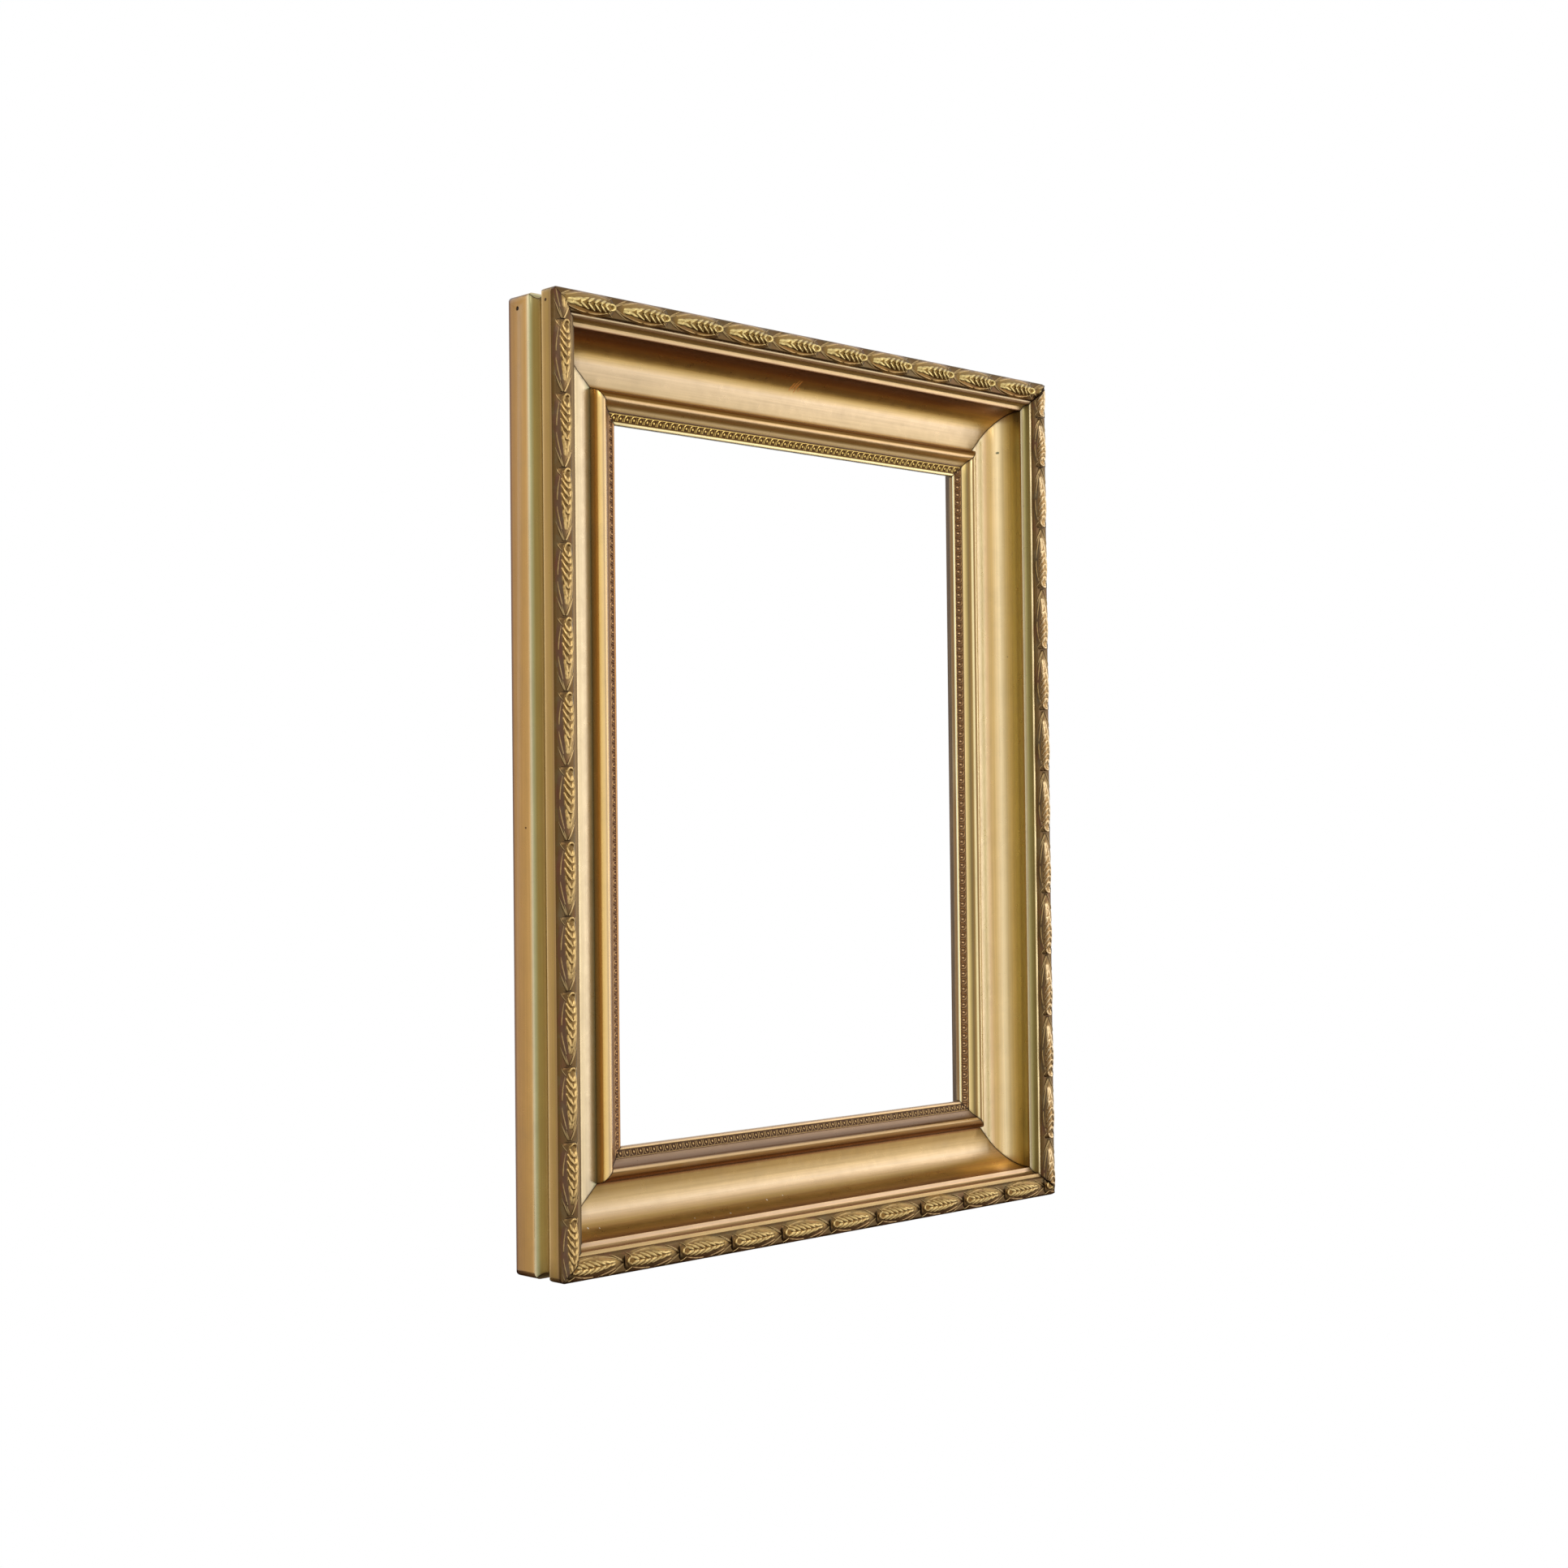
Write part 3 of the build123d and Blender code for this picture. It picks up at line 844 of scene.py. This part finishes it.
def makeCards():
    for name, v in cards.items():
        turn = [math.radians(angle) for angle in v["turn"]]
        bpy.ops.mesh.primitive_plane_add(size=1, location=v["place"], rotation=turn)
        card = bpy.context.object
        card.name = name
        card.scale = (v["size"][0], v["size"][1], 1)
        bakePlace(card)
        paint = bpy.data.materials.new(name + "Paint")
        paint.use_nodes = True
        nodes, links = paint.node_tree.nodes, paint.node_tree.links
        nodes.clear()
        glow = nodes.new("ShaderNodeEmission")
        glow.inputs["Color"].default_value = (*v["colour"], 1)
        glow.inputs["Strength"].default_value = v["strength"]
        links.new(glow.outputs[0], nodes.new("ShaderNodeOutputMaterial").inputs["Surface"])
        card.data.materials.append(paint)
        card.visible_camera = card.visible_diffuse = card.visible_shadow = False


makeLights()
makeWorld()
makeFloor()
makeCards()
bpy.context.scene.view_settings.view_transform = "Standard"
print("camera, lamps and floor set")


def rgb(red, green, blue):
    # screen colour to the linear one that Blender takes
    shares = [c / 255 for c in (red, green, blue)]
    return tuple(s / 12.92 if s < 0.0405 else ((s + 0.055) / 1.055) ** 2.4 for s in shares) + (1,)


# Gilding along the section of each side, with light and shade painted into it: painted highlights on the
# fillets, arrises and the bead's crown, painted shade in the grooves, quirks, hollows and on the bead's shaded
# flank, and painted reflections, dark brown in the top cove and greenish in the right cove, so that each side's
# copy of the same moulding is toned for how light falls on it. These colours were corrected against readings of
# the photograph and of the render. Each stop is a place, a colour and, where it isn't 1, the share of metal.
gilding = {
    # front of the cove rail against u + d
    "cove": {
        "top": ((13.6, 110, 80, 50), (13.9, 255, 230, 195), (14.6, 225, 200, 155), (15.2, 105, 80, 50),
                (16.4, 95, 60, 25), (16.9, 140, 105, 50, 0.3), (20, 170, 125, 55, 0.2),
                (22.6, 185, 150, 90, 0.3), (23, 200, 170, 120), (24.6, 205, 175, 135), (25.4, 120, 85, 55),
                (25.8, 100, 55, 25), (30.6, 110, 60, 25), (37.4, 140, 90, 40), (41.1, 160, 110, 55),
                (45, 190, 140, 70), (52.7, 215, 170, 90), (56.5, 220, 185, 120), (62, 210, 185, 150),
                (74.6, 190, 165, 125), (76.6, 135, 95, 35)),
        "right": ((13.6, 120, 100, 60), (14.1, 235, 215, 165), (15.2, 250, 225, 170), (16.4, 210, 195, 150),
                  (16.9, 160, 145, 85, 0.4), (20, 155, 140, 80, 0.3), (22.4, 190, 175, 110, 0.5),
                  (23, 245, 220, 170, 0.3), (25.2, 255, 240, 195, 0.1), (25.7, 150, 115, 60),
                  (28, 175, 160, 90), (31, 160, 140, 75), (34, 185, 160, 85), (38, 190, 160, 95),
                  (44, 205, 180, 130), (49, 245, 220, 170), (52.7, 235, 205, 150), (56.5, 215, 180, 115),
                  (60, 215, 180, 120), (63, 240, 205, 155), (67, 255, 240, 195), (72, 225, 200, 160),
                  (74.3, 255, 235, 190)),
        "bottom": ((13.6, 150, 120, 70), (14.1, 235, 200, 140), (15.4, 190, 160, 110), (16.4, 180, 145, 100),
                   (17, 160, 120, 75), (20, 150, 110, 65), (22.6, 170, 140, 95), (23, 210, 175, 135),
                   (24.4, 195, 165, 135), (25.4, 200, 170, 130), (25.8, 140, 90, 50), (30.6, 170, 120, 60),
                   (34, 185, 140, 65), (40, 190, 150, 75), (45, 165, 125, 65), (49, 175, 140, 80),
                   (52.7, 200, 165, 115), (56.5, 210, 180, 140), (60, 210, 185, 150), (67, 195, 165, 115),
                   (72, 150, 120, 70), (75, 140, 110, 60), (76.6, 110, 65, 25)),
        "left": ((13.6, 120, 95, 60), (14.1, 150, 120, 85), (15.2, 140, 115, 80), (16.3, 90, 70, 40),
                 (17, 120, 95, 65), (22.6, 120, 100, 60), (23, 160, 125, 90), (24.4, 140, 110, 80),
                 (25.4, 95, 75, 45), (26, 110, 80, 45), (44, 190, 160, 110), (60, 225, 200, 150),
                 (72, 225, 205, 170), (76.6, 185, 180, 135)),
    },
    # sight rail against u
    "sight": {
        "top": ((53.4, 140, 95, 30), (55.2, 120, 80, 20), (56.2, 125, 90, 30), (57, 205, 170, 120),
                (58, 225, 190, 145), (59, 225, 180, 115, 0.7), (60, 215, 160, 90, 0.7), (61, 185, 140, 70, 0.5),
                (62.4, 235, 200, 140, 0.35), (63.4, 195, 160, 100, 0.4), (64.4, 90, 60, 30, 0.6),
                (65.1, 80, 50, 25), (70.1, 120, 85, 50), (70.4, 250, 235, 180), (71.6, 220, 195, 140),
                (71.8, 140, 130, 105)),
        "right": ((51.1, 190, 150, 110), (51.7, 205, 170, 125), (52.2, 250, 225, 175), (55.4, 240, 215, 165),
                  (56.2, 250, 230, 180), (57.2, 150, 115, 70), (58.3, 160, 130, 80), (58.7, 255, 235, 180),
                  (59.3, 250, 230, 175), (59.9, 160, 130, 80), (61, 140, 115, 65, 0.6), (62.6, 205, 180, 115),
                  (64.6, 250, 220, 155), (65.1, 80, 50, 30), (70.1, 120, 85, 50), (70.4, 240, 220, 150),
                  (71.5, 255, 250, 215), (71.8, 150, 120, 85)),
        "bottom": ((51.1, 90, 50, 20), (52.6, 105, 55, 20), (54.8, 140, 90, 40), (56.4, 120, 80, 30),
                   (57.7, 110, 80, 40), (58.4, 215, 180, 130), (59.2, 220, 185, 140), (59.9, 100, 65, 35),
                   (61, 140, 110, 85, 0.5), (62.5, 160, 130, 105, 0.5), (64.4, 150, 120, 90, 0.5),
                   (65.1, 85, 55, 35), (70.1, 120, 85, 50), (70.4, 230, 195, 140), (71.3, 180, 155, 130),
                   (71.8, 180, 150, 115)),
        "left": ((51.1, 120, 95, 60), (52.3, 205, 155, 80), (53, 240, 200, 120), (55, 240, 205, 140),
                 (56.2, 205, 175, 130), (57.8, 230, 195, 140), (61, 220, 180, 140), (62, 150, 110, 70),
                 (64.6, 130, 95, 60), (65.1, 90, 55, 30), (70.1, 130, 90, 50), (70.4, 190, 140, 85),
                 (71.8, 170, 120, 75)),
    },
    # outer side against d, the same all round, with painted highlights on the arrises and on the side fillet's
    # back round, painted shade in the channel's quirk beside the side fillet, and a greenish painted reflection
    # in the channel
    "outer": ((0, 215, 175, 130), (0.9, 160, 130, 90), (3, 175, 145, 90), (7, 185, 150, 95),
              (9.2, 230, 195, 130), (10.2, 220, 195, 140), (11.3, 105, 80, 40), (12.5, 105, 85, 40),
              (14.6, 195, 160, 95), (17, 150, 125, 70), (20.5, 155, 135, 80), (22, 170, 165, 120),
              (22.6, 215, 200, 160), (23.6, 225, 190, 145), (24.6, 205, 165, 110), (28, 195, 155, 100),
              (38, 180, 140, 95), (39.8, 130, 100, 85), (41.2, 100, 80, 75)),
}

# small marks of wear on the cove: place along the side, u + d, half length along and across, lean, colour
marks = {
    "top": ((-7.4, 50.5, 1.0, 5.5, 0.25, (255, 165, 70)), (-5.0, 49.5, 0.9, 6.5, 0.25, (255, 170, 80)),
            (-2.6, 49.5, 1.0, 7, 0.22, (255, 165, 70)), (-0.4, 53, 0.7, 3, 0.1, (255, 175, 85))),
    "right": ((-245.8, 48.9, 1.1, 1.9, 0, (150, 150, 110)), (-96, 41, 0.5, 0.9, 0, (150, 120, 70))),
    "bottom": ((41.6, 45, 0.6, 1.1, 0, (255, 250, 235)), (79.8, 35.6, 0.55, 1.0, 0, (255, 250, 235)),
               (96, 33, 0.45, 0.8, 0, (250, 235, 205)), (62, 39, 0.45, 0.8, 0, (250, 235, 205)),
               (26, 47, 0.5, 0.9, 0, (250, 235, 205)), (110, 37, 0.45, 0.8, 0, (250, 235, 205)),
               (193, 46, 0.6, 1.1, 0, (255, 250, 235)), (184.6, 44, 0.5, 0.9, 0, (255, 250, 235))),
    # on the outer side of the left piece, with d in place of u + d: the first is the dark of a sunk nail's
    # hole, partly the nail and partly painted shade in a hole that isn't modelled, the second a spot on the
    # band
    "leftOuter": ((288.9, 5, 1.1, 1.2, 0, (70, 45, 30)), (-26.5, 28, 0.8, 0.9, 0, (95, 65, 40))),
}

finishValues = {
    "metal": 0.8, "roughness": 0.31, "roughnessSwing": 0.05, "streakSwing": 0.08, "blotchSwing": 0.04,
    # the crevice colour, reach and share paint shade into corners and recesses
    "dust": (150, 130, 105), "dustShare": 0.14, "creviceShade": (60, 35, 15), "creviceShadeReach": 1.6,
    "creviceShadeShare": 0.35, "mitre": (40, 20, 10), "mitreWidth": 0.25, "mitreEdge": 0.15, "mitreStain": 2.6,
    "bump": 0.03, "bumpReach": 0.4, "sideReach": 4.7, "sideStart": 0.35, "backReach": 0.15,
}


def put(tree, kind, inputs=None, **settings):
    made = tree.nodes.new("ShaderNode" + kind)
    for key, value in settings.items():
        setattr(made, key, value)
    for key, value in (inputs or {}).items():
        if isinstance(value, bpy.types.NodeSocket):
            tree.links.new(value, made.inputs[key])
        else:
            made.inputs[key].default_value = value
    return made


def calc(tree, operation, *values):
    return put(tree, "Math", dict(enumerate(values)), operation=operation).outputs[0]


def remap(tree, value, fromLow, fromHigh, toLow=0, toHigh=1):
    return put(tree, "MapRange", {0: value, 1: fromLow, 2: fromHigh, 3: toLow, 4: toHigh}).outputs[0]


def blend(tree, share, first, second, mode="MIX"):
    return put(tree, "Mix", {0: share, 6: first, 7: second}, data_type="RGBA", blend_type=mode).outputs[2]


def ramp(tree, value, stops):
    low, high = stops[0][0], stops[-1][0]
    made = put(tree, "ValToRGB", {0: remap(tree, value, low, high)})
    elements = made.color_ramp.elements
    while len(elements) < len(stops):
        elements.new(1)
    for element, (place, red, green, blue, *metal) in zip(elements, stops):
        element.position = (place - low) / (high - low)
        element.color = (*rgb(red, green, blue)[:3], metal[0] if metal else 1)
    return made.outputs[0], made.outputs[1]


def noise(tree, vector, scale, detail=2, roughness=0.5):
    wanted = {"Vector": vector, "Scale": scale, "Detail": detail, "Roughness": roughness}
    return put(tree, "TexNoise", wanted).outputs[0]


def stretch(tree, inMm, alongShare, acrossShare):
    # the same place drawn out along the side, for streaks and wood grain
    drawn = put(tree, "VectorMath", {0: inMm, 1: (alongShare, acrossShare, acrossShare)}, operation="MULTIPLY")
    return drawn.outputs[0]


def swing(tree, inMm, scale, detail, roughness, middleValue, reach):
    # uneven values on both sides of the middle one
    uneven = noise(tree, inMm, scale, detail, roughness)
    return remap(tree, uneven, 0.3, 0.7, middleValue - reach, middleValue + reach)


def sidePlaces(tree, side):
    # a (along), u (in from the edge) and d (behind the front plane) in mm, from the object's own coordinates
    v = sides[side]
    placing = {"Vector": put(tree, "TexCoord").outputs["Object"], "Location": (0, 0, middle.z),
               "Rotation": (0, math.radians(v["angle"]), 0)}
    turned = put(tree, "Mapping", placing, vector_type="TEXTURE").outputs[0]
    inMm = put(tree, "VectorMath", {0: turned, "Scale": 1 / mm}, operation="SCALE").outputs[0]
    split = put(tree, "SeparateXYZ", {0: inMm})
    u = calc(tree, "SUBTRACT", v["reach"], split.outputs["Z"])
    d = calc(tree, "SUBTRACT", split.outputs["Y"], frontPlane / mm)
    return inMm, split.outputs["X"], u, d


def finishGold(side, tree, colour, metal, places):
    # wear, dust, painted shade in the corners, and dirt at the mitre joint, the same for every gilded piece
    v = finishValues
    inMm, along, u, d = places
    streaks = swing(tree, stretch(tree, inMm, 0.012, 0.9), 1.0, 4, 0.6, 1, v["streakSwing"])
    blotches = swing(tree, inMm, 0.035, 3, 0.6, 1, v["blotchSwing"])
    shade = calc(tree, "MULTIPLY", streaks, blotches)
    grey = put(tree, "CombineXYZ", {0: shade, 1: shade, 2: shade}).outputs[0]
    colour = blend(tree, 1, colour, grey, "MULTIPLY")
    dusty = remap(tree, noise(tree, inMm, 0.06, 6, 0.7), 0.52, 0.75, 0, v["dustShare"])
    colour = blend(tree, dusty, colour, rgb(*v["dust"]))
    # painted shade: darker where ambient occlusion finds corners and recesses
    occlusionShade = put(tree, "AmbientOcclusion", {"Distance": v["creviceShadeReach"] * mm}, samples=6).outputs["AO"]
    colour = blend(tree, remap(tree, occlusionShade, 0.7, 0.2, 0, v["creviceShadeShare"]), colour, rgb(*v["creviceShade"]))
    fromMiddle = calc(tree, "ADD", calc(tree, "ABSOLUTE", along), u)
    toMitre = calc(tree, "SUBTRACT", sides[side]["length"] / 2, fromMiddle)
    wander = remap(tree, noise(tree, inMm, 0.25, 3, 0.6), 0.3, 0.7, 0.4, v["mitreStain"])
    colour = blend(tree, remap(tree, toMitre, 0.2, wander, 0.5, 0), colour, rgb(*v["mitre"]))
    joint = remap(tree, toMitre, v["mitreWidth"], v["mitreWidth"] + v["mitreEdge"], 0.92, 0)
    colour = blend(tree, joint, colour, rgb(*v["mitre"]))
    dull = swing(tree, inMm, 0.15, 5, 0.65, v["roughness"], v["roughnessSwing"])
    fine = noise(tree, inMm, 1.6, 5, 0.6)
    relief = {"Strength": v["bump"], "Distance": v["bumpReach"] * mm, "Height": fine}
    bump = put(tree, "Bump", relief).outputs[0]
    shader = tree.nodes["Principled BSDF"]
    tree.links.new(colour, shader.inputs["Base Color"])
    tree.links.new(calc(tree, "MULTIPLY", metal, v["metal"]), shader.inputs["Metallic"])
    tree.links.new(dull, shader.inputs["Roughness"])
    tree.links.new(bump, shader.inputs["Normal"])


def startMaterial(name):
    paint = bpy.data.materials.new(name)
    paint.use_nodes = True
    return paint, paint.node_tree


def addMarks(tree, colour, metal, inMm, along, across, lines):
    noisy = remap(tree, noise(tree, inMm, 0.6, 3), 0.35, 0.65, 0, 0.6)
    for alongPlace, acrossPlace, halfAlong, halfAcross, lean, tint in lines:
        off = calc(tree, "SUBTRACT", across, acrossPlace)
        leaned = calc(tree, "MULTIPLY_ADD", off, lean, calc(tree, "SUBTRACT", along, alongPlace))
        x = calc(tree, "DIVIDE", leaned, halfAlong)
        y = calc(tree, "DIVIDE", off, halfAcross)
        far = calc(tree, "MULTIPLY_ADD", x, x, calc(tree, "MULTIPLY_ADD", y, y, noisy))
        share = remap(tree, far, 0.6, 1.3, 1, 0)
        colour = blend(tree, share, colour, rgb(*tint))
        metal = calc(tree, "MULTIPLY", metal, calc(tree, "SUBTRACT", 1, share))
    return colour, metal


def outerGold(side, tree, places):
    inMm, along, u, d = places
    # the outer ramp paints highlights, shade and a greenish reflection along the outer side
    colour, metal = ramp(tree, d, gilding["outer"])
    return addMarks(tree, colour, metal, inMm, along, d, marks.get(side + "Outer", ()))[0]


def giveMaterial(piece, paint):
    piece.data.materials.clear()
    piece.data.materials.append(paint)


def gildCove(side):
    v = finishValues
    paint, tree = startMaterial("giltCove_" + side)
    places = inMm, along, u, d = sidePlaces(tree, side)
    across = calc(tree, "ADD", u, d)
    # the ramp paints highlights, shade and reflections into the cove's colour, differently on each side
    front, frontMetal = ramp(tree, across, gilding["cove"][side])
    front, frontMetal = addMarks(tree, front, frontMetal, inMm, along, across, marks.get(side, ()))
    onSide = calc(tree, "MULTIPLY", calc(tree, "LESS_THAN", u, v["sideReach"]),
                  calc(tree, "GREATER_THAN", d, v["sideStart"]))
    colour = blend(tree, onSide, front, outerGold(side, tree, places))
    finishGold(side, tree, colour, calc(tree, "MAXIMUM", frontMetal, onSide), places)
    return paint


def gildSight(side):
    paint, tree = startMaterial("giltSight_" + side)
    places = inMm, along, u, d = sidePlaces(tree, side)
    # the ramp paints highlights, shade and reflections into the sight rail's colour, differently on each side
    finishGold(side, tree, *ramp(tree, u, gilding["sight"][side]), places)
    return paint


woodValues = {"pale": (175, 140, 95), "dark": (110, 80, 50)}


def gildBand(side):
    # gilt outer face, bare aged wood behind and in the rabbet
    paint, tree = startMaterial("giltBand_" + side)
    places = inMm, along, u, d = sidePlaces(tree, side)
    grain = remap(tree, noise(tree, stretch(tree, inMm, 0.02, 0.5), 1.2, 6, 0.65), 0.3, 0.7)
    wood = blend(tree, grain, rgb(*woodValues["dark"]), rgb(*woodValues["pale"]))
    bare = calc(tree, "MAXIMUM", calc(tree, "GREATER_THAN", d, totalDepth - finishValues["backReach"]),
                calc(tree, "GREATER_THAN", u, finishValues["sideReach"]))
    colour = blend(tree, bare, outerGold(side, tree, places), wood)
    finishGold(side, tree, colour, calc(tree, "SUBTRACT", 1, bare), places)
    return paint


wheatColours = {
    # leaf colour across the strip, and the seeds' dark and pale, on each side, set as the gilding was. They
    # hold painted light: the husk is darker where it lies in shade, the seeds' pale is a painted highlight, and
    # each side is toned for how light falls on it.
    "leaf": {
        "top": ((0, 150, 120, 100), (3, 155, 125, 75), (7, 140, 110, 55), (12, 130, 90, 40),
                (14.4, 205, 165, 95)),
        "right": ((0, 140, 110, 70), (6, 150, 120, 70), (9, 110, 85, 50), (10.5, 85, 65, 40),
                  (14.4, 80, 60, 35)),
        "bottom": ((0, 160, 125, 90), (3, 155, 120, 80), (8, 155, 125, 70), (11, 145, 115, 65),
                   (14.4, 160, 130, 80)),
        "left": ((0, 100, 70, 50), (4.5, 95, 70, 50), (7, 120, 90, 60), (10.5, 160, 130, 80),
                 (14.4, 150, 120, 80)),
    },
    "seed": {
        "top": ((130, 100, 45), (235, 210, 140)), "right": ((165, 130, 80), (250, 220, 170)),
        "bottom": ((130, 95, 45), (225, 195, 130)), "left": ((125, 95, 50), (225, 190, 125)),
    },
    "fade": {"top": 0.9, "right": 0.35, "bottom": 0.65, "left": 0.8}, "fadeStart": 9.2, "fadeEnd": 11,
    # the hollow colour with its reach, and the groove range, paint shade into the ornament's hollows and
    # creases
    "joint": (100, 75, 40), "line": (35, 20, 10), "hollow": (60, 40, 20), "hollowReach": 1.2,
    # pale and its share paint a highlight on strands that stand proud of the husk
    "pale": (205, 175, 120), "strandShare": 0.7, "wear": (0.48, 1), "groove": (0.38, 0.47),
    "rust": (110, 55, 45), "moss": (105, 100, 75), "mottle": 0.26,
}


def gildWheat(side):
    paint, tree = startMaterial("giltWheat_" + side)
    places = inMm, along, u, d = sidePlaces(tree, side)
    v = wheatColours
    # the husk's tone across the strip is set per side for how light falls there: darker where it lies in shade,
    # painted shade
    leaf, _ = ramp(tree, u, v["leaf"][side])
    ear, proud, cover = [put(tree, "Attribute", attribute_name=name).outputs["Fac"]
                         for name in ("ear", "proud", "cover")]
    leaf = blend(tree, remap(tree, cover, 0.3, 0.9), rgb(*v["joint"]), leaf)
    patches = noise(tree, inMm, 0.09, 3, 0.6)
    leaf = blend(tree, remap(tree, patches, 0.54, 0.66, 0, v["mottle"]), leaf, rgb(*v["rust"]))
    leaf = blend(tree, remap(tree, patches, 0.46, 0.34, 0, v["mottle"]), leaf, rgb(*v["moss"]))
    offEar = calc(tree, "SUBTRACT", 1, ear)
    # strands standing proud of the husk get a painted highlight
    strand = calc(tree, "MULTIPLY", calc(tree, "MULTIPLY", proud, offEar), v["strandShare"])
    leaf = blend(tree, remap(tree, cover, 0.05, 0.1, 0.95, 0), leaf, rgb(*v["line"]))
    # seeds run from dark to pale as they stand proud: painted shade between them, painted highlights on them
    dark, pale = v["seed"][side]
    worn = remap(tree, noise(tree, inMm, 0.4, 4, 0.65), 0.36, 0.6, *v["wear"])
    proud = calc(tree, "MULTIPLY", proud, worn)
    # on each side the ear's far half gives way to the husk by its own share: painted shade, stronger on some
    # sides
    shown = calc(tree, "MULTIPLY", ear, remap(tree, u, v["fadeStart"], v["fadeEnd"], 1, v["fade"][side]))
    colour = blend(tree, shown, leaf, blend(tree, proud, rgb(*dark), rgb(*pale)))
    # painted shade: darker in hollows found by ambient occlusion
    hollow = put(tree, "AmbientOcclusion", {"Distance": v["hollowReach"] * mm}, samples=6).outputs["AO"]
    colour = blend(tree, remap(tree, hollow, 0.7, 0.36, 0, 0.6), colour, rgb(*v["hollow"]))
    # painted shade: darker in creases, where the mesh is concave
    point = put(tree, "NewGeometry").outputs["Pointiness"]
    colour = blend(tree, remap(tree, point, *v["groove"], 0.5, 0), colour, rgb(*v["hollow"]))
    # the painted highlight on the proud strands
    colour = blend(tree, strand, colour, rgb(*v["pale"]))
    finishGold(side, tree, colour, 1, places)
    return paint


# bed and loop of the egg course on each side, set as the gilding was: the raised loops are paler, a painted
# highlight, and the bed darker, painted shade, toned per side for how light falls on it
eggColours = {
    "top": ((90, 60, 25), (255, 220, 130)), "right": ((110, 80, 50), (220, 180, 130)),
    "bottom": ((70, 45, 25), (195, 160, 110)), "left": ((120, 80, 50), (205, 160, 105)),
}


def gildEggs(side):
    paint, tree = startMaterial("giltEggs_" + side)
    places = inMm, along, u, d = sidePlaces(tree, side)
    (startU, startD), (endU, endD) = at["eggStart"], at["eggEnd"]
    slope = (endD - startD) / (endU - startU)
    flat = calc(tree, "ADD", startD - startU * slope, calc(tree, "MULTIPLY", u, slope))
    proud = calc(tree, "SUBTRACT", flat, d)
    bed, loop = eggColours[side]
    # paler as the loop stands proud of the bed: painted highlight on the loops, painted shade on the bed
    colour = blend(tree, remap(tree, proud, 0.3, 0.75), rgb(*bed), rgb(*loop))
    finishGold(side, tree, colour, 1, places)
    return paint


def plainMaterial(name, colour, metal, roughness):
    paint, tree = startMaterial(name)
    shader = tree.nodes["Principled BSDF"]
    shader.inputs["Base Color"].default_value = rgb(*colour)
    shader.inputs["Metallic"].default_value = metal
    shader.inputs["Roughness"].default_value = roughness
    return paint


for side in sides:
    giveMaterial(rails["cove_rail_" + side], gildCove(side))
    giveMaterial(rails["sight_rail_" + side], gildSight(side))
    giveMaterial(bands[side], gildBand(side))
    giveMaterial(wheatStrips[side], gildWheat(side))
    giveMaterial(eggStrips[side], gildEggs(side))
wood = plainMaterial("keyWood", (150, 110, 70), 0, 0.7)
steel = plainMaterial("nailSteel", (60, 50, 45), 0.7, 0.55)
for name, node in frame["nodes"].items():
    if name.startswith("corner_key"):
        giveMaterial(node, wood)
    elif name.endswith("nails"):
        giveMaterial(node, steel)
for side in sides:
    for piece, slot in ((rails["cove_rail_" + side], "gilded_cove"), (bands[side], "gilded_band"),
                        (rails["sight_rail_" + side], "gilded_sight"), (wheatStrips[side], "wheat_ornament"),
                        (eggStrips[side], "egg_ornament")):
        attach(piece, "root")
print("materials given")
